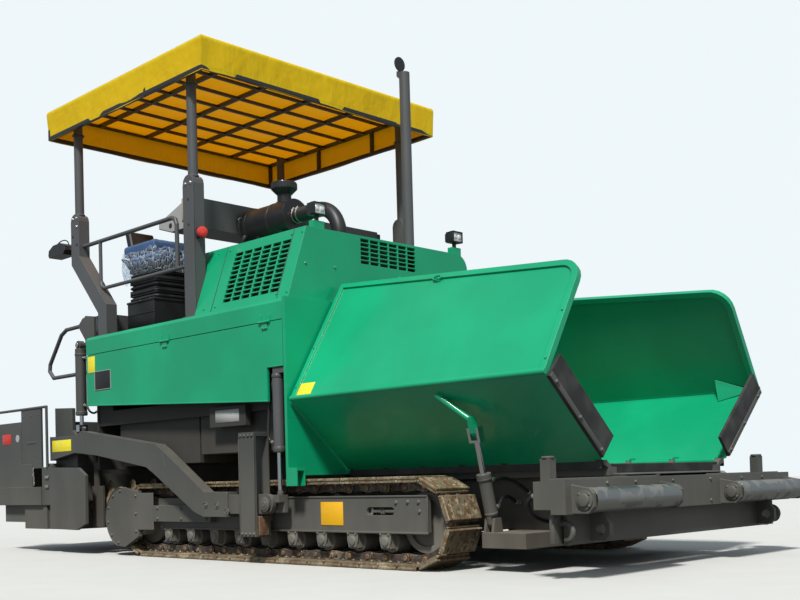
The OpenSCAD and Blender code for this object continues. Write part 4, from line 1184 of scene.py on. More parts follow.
@dataclass
class Undercarriage:
    """What is bolted to the track frames: blocks, the tensioner, the guard's fittings and the markers."""

    out: float = 1.110
    first_roller: float = 1.653
    roller_pitch: float = 0.297
    rollers: int = 9
    guard_x: float = -1.270
    guard_face: float = 1.190
    rim_radius: float = 0.238
    bolt_radius: float = 0.212

    def build(self, looks: Finishes) -> None:
        """Makes both sides."""
        each_side(looks, self.blocks, self.frame, self.guard)

    def blocks(self, looks: Finishes, side: Side) -> None:
        """The cast blocks that hold the rollers' shafts."""
        form = Form()
        for i in range(self.rollers):
            x = self.first_roller - i * self.roller_pitch
            outline = [
                (x - 0.05, 0.233), (x - 0.05, 0.175), (x - 0.036, 0.128), (x + 0.036, 0.128),
                (x + 0.05, 0.175), (x + 0.05, 0.233),
            ]
            form.prism(outline, Axis.Y, self.out - 0.002, self.out + 0.008, edge=0.003)
            form.turned(
                [(0.03, 0.0), (0.03, 0.008), (0.022, 0.012), (0.012, 0.012)], (x, self.out + 0.006, 0.170),
                (0, 1, 0), 20,
            )
            for dx in (-0.036, 0.036):
                form.bolt((x + dx, self.out + 0.008, 0.216), (0, 1, 0), 0.008)
            form.bolt((x, self.out + 0.008, 0.141), (0, 1, 0), 0.007)
            form.block((x - 0.03, self.out - 0.05, 0.119), (x + 0.03, self.out, 0.129), 0.003)
        form.sided("roller_blocks", "chassis", looks.hub, "dark_paint", side)

    def frame(self, looks: Finishes, side: Side) -> None:
        """The flanges, bolts, tensioner and marker of one track frame."""
        rear, front = -0.86, 2.022
        form = Form()
        form.block((rear + 0.06, self.out - 0.004, 0.221), (front, self.out + 0.013, 0.234), 0.002)
        form.block((-0.10, self.out - 0.004, 0.447), (front, self.out + 0.006, 0.458), 0.002)
        form.block((front - 0.012, self.out - 0.004, 0.234), (front, self.out + 0.006, 0.447), 0.002)
        for x, z in ((1.751, 0.413), (1.850, 0.416), (1.942, 0.415), (1.948, 0.358)):
            form.bolt((x, self.out, z), (0, 1, 0), 0.011)
        for x in (-0.80, -0.48, -0.16):
            for z in (0.300, 0.382):
                form.bolt((x, 1.162, z), (0, 1, 0), 0.010)
        form.sided("frame_fittings", "chassis", looks.dark, "dark_paint", side)
        screw = Form()
        screw.rod((1.505, 1.062, 0.360), (1.715, 1.062, 0.360), 0.017)
        for x in (1.585, 1.604):
            screw.turned(band(0.027, 0.029, 0.003, 0.014), (x, 1.062, 0.360), (1, 0, 0), 6)
        for x in (1.492, 1.708):
            screw.block((x, 1.040, 0.335), (x + 0.026, 1.084, 0.385), 0.003)
        screw.sided("track_tensioner", "chassis", looks.zinc, "bright_rod", side)
        marker = Form()
        marker.block((1.055, self.out, 0.268), (1.270, self.out + 0.004, 0.420), 0.0015)
        marker.sided("frame_marker", "chassis", looks.amber, "dark_paint", side)

    def guard(self, looks: Finishes, side: Side) -> None:
        """The rim, bolts and caked mud of the drive's guard."""
        form = Form()
        centre_z = 0.3095
        for degrees in range(95, 256, 32):
            angle = math.radians(degrees)
            spot = (
                self.guard_x + self.bolt_radius * math.cos(
                    angle
                ), self.guard_face, centre_z + self.bolt_radius * math.sin(angle)
            )
            form.bolt(spot, (0, 1, 0), 0.010)
        for z in (0.200, 0.340, 0.480):
            form.bolt((-1.062, self.guard_face, z), (0, 1, 0), 0.010)
        rim = [
            (
                self.guard_x + self.rim_radius * math.cos(math.radians(a)), self.guard_face + 0.001,
                centre_z + self.rim_radius * math.sin(math.radians(a)),
            )
            for a in range(90, 256, 11)
        ]
        form.sweep(rim, 0.004, sides=6)
        form.sided("guard_fittings", "chassis", looks.dark, "dark_paint", side)
        mud = Form()
        dice = random.Random(31)
        for _ in range(26):
            angle = math.radians(dice.uniform(84, 150))
            size = dice.uniform(0.008, 0.02)
            spot = (
                self.guard_x + self.rim_radius * math.cos(angle), dice.uniform(1.160, 1.180),
                centre_z + self.rim_radius * math.sin(angle),
            )
            mud.turned(
                [(size * 0.5, -0.002), (size, 0.001), (size * 0.8, size * 0.3), (size * 0.3, size * 0.45)],
                spot, (math.cos(angle), 0, math.sin(angle)), 7,
            )
        mud.sided("guard_mud", "chassis", looks.mud, "track_steel", side)


@dataclass
class TowGear:
    """The arms' pockets and pins, their guides' bolts, and the levelling cylinders' rods and hoses."""

    arm_out: float = 1.258
    guide_out: float = 1.285
    lever_x: float = 0.765

    def build(self, looks: Finishes) -> None:
        """Makes both sides."""
        each_side(looks, self.guide, self.arm, self.cylinder)

    def guide(self, looks: Finishes, side: Side) -> None:
        """The bolts and wear strips of one guide."""
        form = Form()
        for x in (0.430, 0.470, 0.515, 0.555):
            for z in (0.882, 0.208):
                form.bolt((x, self.guide_out, z), (0, 1, 0), 0.010)
        for x in (0.407, 0.571):
            form.block((x, self.guide_out - 0.003, 0.232), (x + 0.007, self.guide_out + 0.004, 0.860), 0.0015)
        form.sided("guide_bolts", "chassis", looks.dark, "dark_paint", side)
        strip = Form()
        strip.block((0.578, 1.178, 0.20), (0.590, 1.262, 0.33), 0.002)
        strip.sided("guide_strips", "chassis", looks.rusty, "track_steel", side)

    def arm(self, looks: Finishes, side: Side) -> None:
        """The pockets, their shade painted as thin dark discs, the joints, pin and blank label of one arm."""
        form, dark = Form(), Form()
        for x, z in ((-0.033, 0.406), (0.102, 0.402), (0.221, 0.361)):
            spots = [
                (x + 0.026 * math.cos(a), self.arm_out + 0.001, z + 0.019 * math.sin(a))
                for a in (math.tau * k / 20 for k in range(20))
            ]
            form.sweep(spots, 0.004, sides=8, closed=True)
            # Painted shade: a thin near-black disc inside each ring stands in for the shade in the pocket.
            dark.turned([(0.024, 0), (0.024, 0.0012)], (x, self.arm_out, z), (0, 1, 0), 24)
            form.bolt((x, self.arm_out + 0.001, z), (0, 1, 0), 0.009)
        form.prism(
            [(0.222, 0.330), (0.235, 0.330), (0.235, 0.492), (0.222, 0.492)], Axis.Y, self.arm_out - 0.002,
            self.arm_out + 0.006, 0.002,
        )
        form.turned(
            [(0.052, 0), (0.052, 0.005), (0.040, 0.006), (0.038, 0.010), (0.024, 0.010), (0.020, 0.014)],
            (0.652, self.arm_out + 0.002, 0.413), (0, 1, 0), 32,
        )
        for x, z, tall in ((-0.575, 0.826, -0.137), (-1.768, 1.027, -0.187)):
            form.sweep([(x, self.arm_out, z - 0.01), (x + 0.04, self.arm_out, z + tall)], 0.004, sides=6)
        form.sided("arm_fittings", "screed", looks.dark, "dark_paint", side)
        dark.sided("arm_pockets", "screed", looks.inner, "black_paint", side)
        label = Form()
        label.block((-2.250, self.arm_out, 0.868), (-1.930, self.arm_out + 0.002, 0.965), 0.0006)
        label.sided("arm_label", "screed", looks.yellow, "dark_paint", side)

    def cylinder(self, looks: Finishes, side: Side) -> None:
        """The bright rod, gland and hoses of one levelling cylinder."""
        y = self.arm_out - 0.045
        rod, form = Form(), Form()
        rod.rod((self.lever_x, y, 0.500), (self.lever_x, y, 0.760), 0.0167, 24)
        rod.sided("levelling_rod", "chassis", looks.chrome, "bright_rod", side)
        form.turned(band(0.0405, 0.043, 0.004, 0.038), (self.lever_x, y, 0.7605), (0, 0, 1), 32)
        form.turned(band(0.0405, 0.042, 0.003, 0.023), (self.lever_x, y, 1.262), (0, 0, 1), 32)
        form.turned(
            [(0.022, 0), (0.022, 0.02), (0.017, 0.022), (0.017, 0.034)], (self.lever_x, y, 0.4725),
            (0, 0, 1), 24,
        )
        for z in (0.830, 1.222):
            form.turned(
                [(0.016, 0), (0.016, 0.014), (0.013, 0.018)], (self.lever_x - 0.034, y, z), (-1, 0, 0.0), 16
            )
        form.sided("levelling_gland", "chassis", looks.dark, "dark_paint", side)
        lower = (
            (0.712, y, 0.830), (0.690, y, 0.832), (0.662, y, 0.850), (0.650, y, 0.90),
            (0.652, y - 0.01, 1.05), (0.668, y - 0.02, 1.20), (0.690, y - 0.03, 1.30),
            (0.700, y - 0.03, 1.34),
        )
        Hose("levelling_hose", "chassis", lower, 0.009).build(looks, side)


@dataclass
class FrontGear:
    """The fittings of the front beam: bearing flanges, hooks, posts' caps, hoses and the apron."""

    beam_front: float = 3.155
    roller_x: float = 3.235
    roller_z: float = 0.425
    bracket_y: tuple[float, float] = (0.339, 1.231)

    def build(self, looks: Finishes) -> None:
        """Makes both sides and the apron."""
        each_side(looks, self.end)
        self.apron(looks)

    def end(self, looks: Finishes, side: Side) -> None:
        """The flanges, bolts, hook, post's cap and hose at one end of the beam."""
        form = Form()
        for y, out in ((self.bracket_y[1], 1), (self.bracket_y[0], -1)):
            profile = [(0.052, -0.001), (0.052, 0.007), (0.034, 0.010), (0.034, 0.018), (0.026, 0.021)]
            form.turned(profile, (self.roller_x, y, self.roller_z), (0, out, 0), 32)
            for k in range(4):
                angle = math.tau * (k + 0.5) / 4
                spot = (
                    self.roller_x + 0.043 * math.cos(angle), y + out * 0.006,
                    self.roller_z + 0.043 * math.sin(angle),
                )
                form.bolt(spot, (0, out, 0), 0.007)
        for y in (0.22, 0.62, 0.90):
            form.bolt((self.beam_front, y, 0.508), (1, 0, 0), 0.009)
            form.bolt((self.beam_front, y, 0.378), (1, 0, 0), 0.009)
        form.block((3.022, 1.105, 0.192), (3.050, 1.255, 0.352), 0.004)
        form.sweep(
            smooth(
                [
                    (3.045, 1.185, 0.300), (3.095, 1.185, 0.298), (3.122, 1.185, 0.262),
                    (3.108, 1.185, 0.222), (3.075, 1.185, 0.214),
                ]
            ),
            0.016,
        )
        form.block((3.028, 1.125, 0.180), (3.070, 1.150, 0.262), 0.004)
        cap = (3.030, 1.260, 0.6425) if side is Side.RIGHT else (3.090, 0.955, 0.6425)
        form.turned([(0.028, 0), (0.036, 0.004), (0.036, 0.012), (0.030, 0.016)], cap, (0, 0, 1), 24)
        form.sweep([(3.086, 0.30, 0.5365), (3.086, 1.27, 0.5365)], 0.005, sides=6)
        form.sided("beam_fittings", "chassis", looks.dark, "dark_paint", side)
        route = (
            (2.950, 1.245, 0.450), (2.910, 1.245, 0.446), (2.872, 1.240, 0.405), (2.868, 1.200, 0.350),
            (2.885, 1.140, 0.318), (2.905, 1.090, 0.306), (2.932, 1.040, 0.300),
        )
        Hose("beam_hose", "chassis", route, 0.012).build(looks, side)

    def apron(self, looks: Finishes) -> None:
        """The plate and the rubber strip between the wings."""
        plate = Form()
        plate.prism(
            [(2.925, 0.548), (3.052, 0.548), (3.052, 0.553), (2.985, 0.560), (2.925, 0.560)], Axis.Y, -0.60,
            0.60, 0.001,
        )
        for k in range(7):
            plate.bolt((2.955, -0.54 + 0.18 * k, 0.559), (0, 0, 1), 0.009)
        plate.piece("apron_plate", "chassis", looks.post, "dark_paint")
        strip = Form()
        strip.prism(
            [(2.962, 0.560), (2.984, 0.560), (2.992, 0.612), (2.980, 0.615)], Axis.Y, -0.615, 0.615, 0.002
        )
        strip.piece("apron_strip", "chassis", looks.rubber, "flap_rubber")


@dataclass
class WingGear:
    """What each wing carries: strip, seal, lifting eye, gusset, blank label and its cylinder's hoses."""

    lower_len: float = (WING_FOLD - WING_HINGE).length
    foot: Point = (2.370, 0.926, 0.285)
    eye: Point = (2.370, 1.066, 0.825)

    def build(self, looks: Finishes) -> None:
        """Makes both sides."""
        rise = (WING_FOLD - WING_HINGE).normalized()
        lean = (WING_TOP - WING_FOLD).normalized()
        ahead = Vector((1, 0, 0))
        lower = turn_to(WING_HINGE, ahead, ahead.cross(rise))
        upper = turn_to(WING_FOLD, ahead, -ahead.cross(lean))
        for side in Side:
            self.lower_panel(looks, side, lower)
            self.upper_panel(looks, side, upper)
            self.gusset(looks, side)
            self.cylinder(looks, side)

    def lower_panel(self, looks: Finishes, side: Side, turn: Matrix) -> None:
        """The strip and bolts that hold the flap, and the rubber seal over the hinge."""
        form = Form()
        form.block(
            (WING_FRONT + 0.018, 0.065, -0.014), (WING_FRONT + 0.025, self.lower_len - 0.025, 0.020),
            0.0015, turn,
        )
        for share in (0.14, 0.5, 0.88):
            form.bolt(turn @ Vector((WING_FRONT + 0.025, share * self.lower_len, 0.004)), (1, 0, 0), 0.011)
        form.sided("flap_strip", f"wing_{side.word}", looks.dark, "dark_paint", side)
        seal = Form()
        seal.prism(
            [(0.703, 0.585), (0.708, 0.585), (0.708, 0.640), (0.703, 0.640)], Axis.X, WING_REAR + 0.01,
            2.99, 0.001,
        )
        seal.sided("wing_seal", f"wing_{side.word}", looks.rubber, "flap_rubber", side)

    def upper_panel(self, looks: Finishes, side: Side, turn: Matrix) -> None:
        """The lifting eye and the blank label. Drawn with Z out of the panel and Y down it."""
        form = Form()
        spots = [
            turn @ Vector((1.87 + 0.034 * math.cos(a), -0.822 + 0.016 * math.sin(a), 0.014))
            for a in (math.tau * k / 24 for k in range(24))
        ]
        form.sweep(spots, 0.006, sides=8, closed=True)
        for x in (WING_REAR + 0.018, WING_FRONT - 0.018):
            for reach in (0.08, 0.40):
                form.bolt(turn @ Vector((x, -reach, 0.0115)), turn.to_3x3() @ Vector((0, 0, 1)), 0.008)
        form.sided("wing_fittings", f"wing_{side.word}", looks.green, "green_paint", side)
        label = Form()
        label.block((0.925, -0.115, 0.0), (1.085, -0.022, 0.0016), 0.0006, turn)
        label.sided("wing_label", f"wing_{side.word}", looks.yellow, "green_paint", side)

    def gusset(self, looks: Finishes, side: Side) -> None:
        """The corner plate across the fold, inside the wing."""
        form = Form()
        corners = [
            (2.705, 1.1485, 1.196), (2.735, 1.132, 1.036), (2.975, 1.194, 1.100), (2.705, 1.199, 1.098)
        ]
        verts = [form.mesh.verts.new(spot) for spot in corners]
        for face in ((0, 1, 2), (0, 3, 1), (1, 3, 2), (0, 2, 3)):
            form.mesh.faces.new([verts[k] for k in face])
        form.sided("wing_gusset", f"wing_{side.word}", looks.green, "green_paint", side, angle=10)

    def cylinder(self, looks: Finishes, side: Side) -> None:
        """The gland, ports and hoses of the wing's cylinder."""
        foot, eye = Vector(self.foot), Vector(self.eye)
        up = (eye - foot).normalized()
        form = Form()
        for height, wide in ((0.052, 0.0405), (0.262, 0.045)):
            form.turned(
                [(wide - 0.002, 0), (wide, 0.003), (wide, 0.012), (wide - 0.002, 0.015)],
                foot + up * height, up, 36,
            )
        ports = (foot + up * 0.262, foot + up * 0.095)
        inward = Vector((0, -1, 0))
        for port in ports:
            form.turned([(0.020, 0), (0.020, 0.014), (0.014, 0.018)], port + inward * 0.034, inward, 6)
        form.sided("wing_cylinder_ports", f"wing_barrel_{side.word}", looks.dark, "dark_paint", side)
        starts = [port + inward * 0.048 for port in ports]
        routes = (
            (
                starts[0], starts[0] + Vector((0, -0.035, 0.004)), (2.372, 0.840, 0.548),
                (2.380, 0.760, 0.535), (2.395, 0.690, 0.500), (2.410, 0.645, 0.465), (2.415, 0.604, 0.448),
            ),
            (
                starts[1], starts[1] + Vector((0, -0.035, 0.010)), (2.350, 0.810, 0.428),
                (2.335, 0.740, 0.436), (2.320, 0.680, 0.420), (2.315, 0.640, 0.402), (2.315, 0.604, 0.395),
            ),
        )
        for name, route in zip(("upper", "lower"), routes):
            hose = Hose(
                f"wing_{name}_hose", f"wing_barrel_{side.word}", tuple(tuple(spot) for spot in route), 0.011
            )
            hose.build(looks, side, onto="chassis")


@dataclass
class BodyGear:
    """The fittings of the side doors, the hood, its lamps and the air cleaner."""

    side_y: float = BODY_Y
    grille_x: tuple[float, float] = (0.090, 0.735)
    grille_z: tuple[float, float] = (1.855, 2.240)

    def build(self, looks: Finishes) -> None:
        """Makes both sides and the hood's gear."""
        each_side(looks, self.door)
        self.hood(looks)
        self.lamps(looks)
        self.rear(looks)

    def door(self, looks: Finishes, side: Side) -> None:
        """The hinges' bolts, marker and blank plate of one side, and the blank plate below it."""
        door = f"side_door_{side.word}"
        hinge = Form()
        for x in (-0.530, 0.672):
            for dx in (-0.016, 0.016):
                hinge.bolt((x + dx, self.side_y + 0.007, 1.606), (0, 1, 0), 0.006)
        hinge.sided("hinge_bolts", door, looks.green, "green_paint", side)
        marker = Form()
        marker.block((-1.660, self.side_y, 1.500), (-1.550, self.side_y + 0.003, 1.632), 0.001)
        marker.sided("door_marker", door, looks.yellow, "green_paint", side)
        plate, rim = Form(), Form()
        plate.block((-1.550, self.side_y, 1.350), (-1.310, self.side_y + 0.003, 1.500), 0.001)
        plate.sided("door_plate", door, looks.plastic, "black_paint", side)
        corners = ((-1.550, 1.350), (-1.310, 1.350), (-1.310, 1.500), (-1.550, 1.500))
        rim.sweep([(x, self.side_y + 0.002, z) for x, z in corners], 0.004, sides=6, closed=True)
        rim.sided("door_plate_rim", door, looks.pale, "green_paint", side)
        edge = Form()
        low = [(-1.680, 1.234), (0.684, 1.109), (0.684, 1.338), (0.851, 1.338)]
        edge.sweep([(x, self.side_y - 0.002, z) for x, z in low], 0.006, sides=8)
        edge.sided("door_edge", door, looks.green, "green_paint", side)
        tag = Form()
        tag.block((0.02, 1.190, 0.995), (0.30, 1.192, 1.085), 0.0006)
        tag.sided("service_plate", "chassis", looks.pale, "dark_paint", side)

    def lean(self, z: float) -> float:
        """Y of the hood's right side at a height."""
        return -self.side_y + 0.055 + 0.180 * (z - DECK_Z) / (HOOD_Z - DECK_Z)

    def hood(self, looks: Finishes) -> None:
        """The grilles' wires over thin dark sheets of painted shade, and the seams and bolts of the hood."""
        mesh = Form()
        low, high = self.grille_z[0] - 0.015, self.grille_z[1] + 0.015
        deep = 0.050
        # Painted shade: a thin near-black sheet behind the side grille, and a second sheet at the front,
        # stand in for the shade inside the hood.
        outline = [
            (self.lean(low) + deep, low), (self.lean(high) + deep, high),
            (self.lean(high) + deep + 0.003, high), (self.lean(low) + deep + 0.003, low),
        ]
        mesh.prism(outline, Axis.X, self.grille_x[0] - 0.01, self.grille_x[1] + 0.01)
        mesh.block((0.790, -0.515, 2.095), (0.793, 0.095, 2.292))
        wires = 40
        for k in range(wires + 1):
            x = self.grille_x[0] + (self.grille_x[1] - self.grille_x[0]) * k / wires
            mesh.sweep(
                [(x, self.lean(low) + deep - 0.004, low), (x, self.lean(high) + deep - 0.004, high)],
                0.0016, sides=4,
            )
        for k in range(22):
            z = low + (high - low) * k / 21
            y = self.lean(z) + deep - 0.006
            mesh.sweep([(self.grille_x[0], y, z), (self.grille_x[1], y, z)], 0.0016, sides=4)
        mesh.piece("grille_mesh", "chassis", looks.inner, "black_paint")
        seam = Form()
        for x in (-0.020, 0.735):
            seam.sweep([(x, self.lean(z) - 0.0005, z) for z in (1.81, 2.306)], 0.003, sides=6)
        seam.piece("hood_seams", "chassis", looks.plastic, "black_paint")
        gear = Form()
        for y in (-1.02, -0.75, -0.10, 0.20, 0.50):
            gear.bolt((0.855, y, 2.050), (1, 0, 0), 0.008)
        for x in (-0.12, 0.02, 0.72, 0.83):
            for z in (1.84, 2.27):
                gear.bolt((x, self.lean(z), z), (0, -1, 0.35), 0.007)
        gear.piece("hood_fittings", "chassis", looks.green, "green_paint")

    def lamps(self, looks: Finishes) -> None:
        """The bezels, lenses and fins of the work lamps."""
        bezel, lens = Form(), Form()
        for y in (-0.860, 0.585):
            for low, high, z0, z1 in (
                (-0.057, 0.057, 2.408, 2.418), (-0.057, 0.057, 2.487, 2.497),
                (-0.057, -0.047, 2.408, 2.497), (0.047, 0.057, 2.408, 2.497),
            ):
                bezel.block((0.800, y + low, z0), (0.845, y + high, z1), 0.003)
            for k in range(6):
                bezel.block(
                    (0.745, y - 0.045 + 0.017 * k, 2.420), (0.767, y - 0.040 + 0.017 * k, 2.485), 0.001
                )
            for dy in (-0.024, 0.024):
                lens.turned(
                    [(0.023, 0.0), (0.021, 0.003), (0.014, 0.006), (0.004, 0.008)],
                    (0.8335, y + dy, 2.4525), (1, 0, 0), 28,
                )
            lens.block((0.832, y - 0.048, 2.417), (0.836, y + 0.048, 2.488), 0.001)
        bezel.piece("lamp_bezels", "chassis", looks.plastic, "black_paint")
        lens.piece("lamp_lenses", "chassis", looks.lens, "bright_rod")

    def rear(self, looks: Finishes) -> None:
        """The air cleaner's bands, clips and flutes, and the clamps of its hose."""
        y, z = -0.450, 2.600
        form = Form()
        for x in (-0.395, -0.120):
            form.turned(band(0.1345, 0.1385, 0.002, 0.026), (x, y, z), (1, 0, 0), 56)
            form.block((x + 0.004, y - 0.016, z + 0.133), (x + 0.022, y + 0.016, z + 0.149), 0.003)
        form.turned(
            [(0.121, 0), (0.141, 0.004), (0.141, 0.014), (0.135, 0.018)], (-0.452, y, z), (1, 0, 0), 56
        )
        form.turned(
            [(0.060, 0), (0.100, 0.003), (0.108, 0.008), (0.108, 0.012)], (-0.478, y, z), (1, 0, 0), 48
        )
        for k in range(28):
            angle = math.tau * k / 28
            spot = Vector((-0.032 + 0.099 * math.cos(angle), y + 0.099 * math.sin(angle), 2.832))
            form.sweep([spot, spot + Vector((0, 0, 0.040))], 0.004, sides=6)
        form.turned(
            [(0.1, 0), (0.098, 0.006), (0.06, 0.014), (0.02, 0.016)], (-0.032, y, 2.8745), (0, 0, 1), 48
        )
        form.sweep(
            smooth(
                [
                    (-0.40, y - 0.10, z - 0.085), (-0.41, y - 0.115, z - 0.115),
                    (-0.43, y - 0.118, z - 0.145), (-0.44, y - 0.118, z - 0.170),
                ]
            ),
            lambda share: 0.022 - 0.006 * share,
        )
        for k in range(9):
            form.turned(band(0.0550, 0.0575, 0.004, 0.012), (0.165 + 0.018 * k, y, z), (1, 0, 0), 40)
        form.piece("air_cleaner_bands", "chassis", looks.black, "black_paint")
        clip = Form()
        for degrees in (35, 155, 275):
            angle = math.radians(degrees)
            out = Vector((0, math.cos(angle), math.sin(angle)))
            base = Vector((-0.445, y, z)) + out * 0.136
            across = Vector((1, 0, 0)).cross(out)
            clip.sweep(
                [
                    base - Vector((0.018, 0, 0)), base + out * 0.008,
                    base + Vector((0.030, 0, 0)) + out * 0.004,
                ],
                0.004, sides=6,
            )
            clip.rod(base - across * 0.012 + out * 0.004, base + across * 0.012 + out * 0.004, 0.004)
        for x in (0.104, 0.150, 0.335):
            clip.turned(band(0.0555, 0.0585, 0.001, 0.013), (x, y, z), (1, 0, 0), 48)
            clip.rod((x + 0.006, y - 0.052, z + 0.034), (x + 0.006, y - 0.026, z + 0.060), 0.005)
        clip.turned(band(0.0555, 0.0585, 0.001, 0.013), (0.590, y, 2.345), (0, 0, 1), 48)
        clip.piece("air_cleaner_clips", "chassis", looks.zinc, "bright_rod")


@dataclass
class PostGear:
    """The bolts, holes, lamps and brackets of the canopy's posts."""

    face: float = 1.170
    front_x: float = -0.288
    rear_x: float = -1.955
    rear_foot_x: float = -1.540

    def build(self, looks: Finishes) -> None:
        """Makes both sides."""
        each_side(looks, self.bolts, self.lamp, self.mirror)

    def bolts(self, looks: Finishes, side: Side) -> None:
        """The bright bolts, the holes drawn as thin dark discs of painted shade, and the welts of the posts.
        """
        bright, form, painted_hole_shades = Form(), Form(), Form()
        for x, z in ((-0.255, 2.810), (-0.321, 2.810), (-1.925, 2.850), (-1.985, 2.850), (-1.925, 2.779)):
            bright.bolt((x, self.face, z), (0, 1, 0), 0.010)
        bright.sided("post_bolts", "chassis", looks.zinc, "bright_rod", side)
        for x, z in ((self.front_x, 2.860), (self.rear_x, 2.875)):
            form.turned(
                [(0.0385, 0), (0.046, 0.003), (0.046, 0.016), (0.0385, 0.020)], (x, POST_Y, z), (0, 0, 1),
                32,
            )
            form.turned(band(0.0385, 0.052, 0.002, 0.012), (x, POST_Y, 3.566), (0, 0, 1), 32)
        for x in (self.front_x, self.rear_foot_x):
            form.block(
                (x - 0.085, POST_Y - 0.07, DECK_Z - 0.001), (x + 0.085, self.face + 0.012, DECK_Z + 0.012),
                0.002,
            )
            for dx in (-0.072, 0.072):
                form.bolt((x + dx, POST_Y - 0.060, DECK_Z + 0.012), (0, 0, 1), 0.008)
        for x in (self.front_x - 0.066, self.front_x + 0.066):
            form.sweep([(x, self.face - 0.002, 1.83), (x, self.face - 0.002, 2.80)], 0.003, sides=6)
        form.sided("post_collars", "chassis", looks.post, "dark_paint", side)
        # Painted shade: each hole is a thin near-black disc on the post's face, as dark as the shade inside a
        # hole.
        for x, z, size in (
            (-1.990, 2.700, 0.014), (-1.925, 2.624, 0.014), (
                self.front_x, 2.690, 0.012
            ), (self.front_x, 2.500, 0.012)
        ):
            painted_hole_shades.turned([(size, 0), (size, 0.001)], (x, self.face, z), (0, 1, 0), 20)
        painted_hole_shades.sided("post_holes", "chassis", looks.inner, "black_paint", side)

    def lamp(self, looks: Finishes, side: Side) -> None:
        """The small marker lamp ahead of the front post."""
        base, lens = Form(), Form()
        base.block((-0.224, 1.118, 2.392), (-0.150, 1.150, 2.462), 0.004)
        base.sided("post_lamp_base", "chassis", looks.plastic, "black_paint", side)
        lens.turned(
            [(0.041, 0), (0.041, 0.018), (0.037, 0.027), (0.026, 0.032), (0.007, 0.034)],
            (-0.172, 1.134, 2.427), (1, 0.3, 0), 32,
        )
        lens.sided("post_lamp", "chassis", looks.red, "bright_rod", side)

    def mirror(self, looks: Finishes, side: Side) -> None:
        """The clamp, ring and glass of one mirror."""
        form, glass = Form(), Form()
        form.block((-2.050, 1.094, 2.594), (-2.018, 1.146, 2.646), 0.004)
        form.bolt((-2.034, 1.146, 2.620), (0, 1, 0), 0.009)
        ring = [
            (-2.24 + 0.105 * math.cos(a), 1.130, 2.668 + 0.050 * math.sin(a))
            for a in (math.pi * k / 16 for k in range(17))
        ]
        form.sweep(ring, 0.005, sides=8)
        form.turned([(0.020, 0), (0.026, 0.006), (0.020, 0.016)], (-2.118, 1.120, 2.620), (1, 0, 0), 20)
        form.sided("mirror_clamp", "chassis", looks.plastic, "black_paint", side)
        outline = [
            (-2.350, 2.598), (-2.145, 2.592), (-2.125, 2.628), (-2.190, 2.660), (-2.300, 2.656),
            (-2.352, 2.636),
        ]
        glass.prism(outline, Axis.Y, 1.0685, 1.0705)
        glass.sided("mirror_glass", "chassis", looks.mirror, "bright_rod", side)


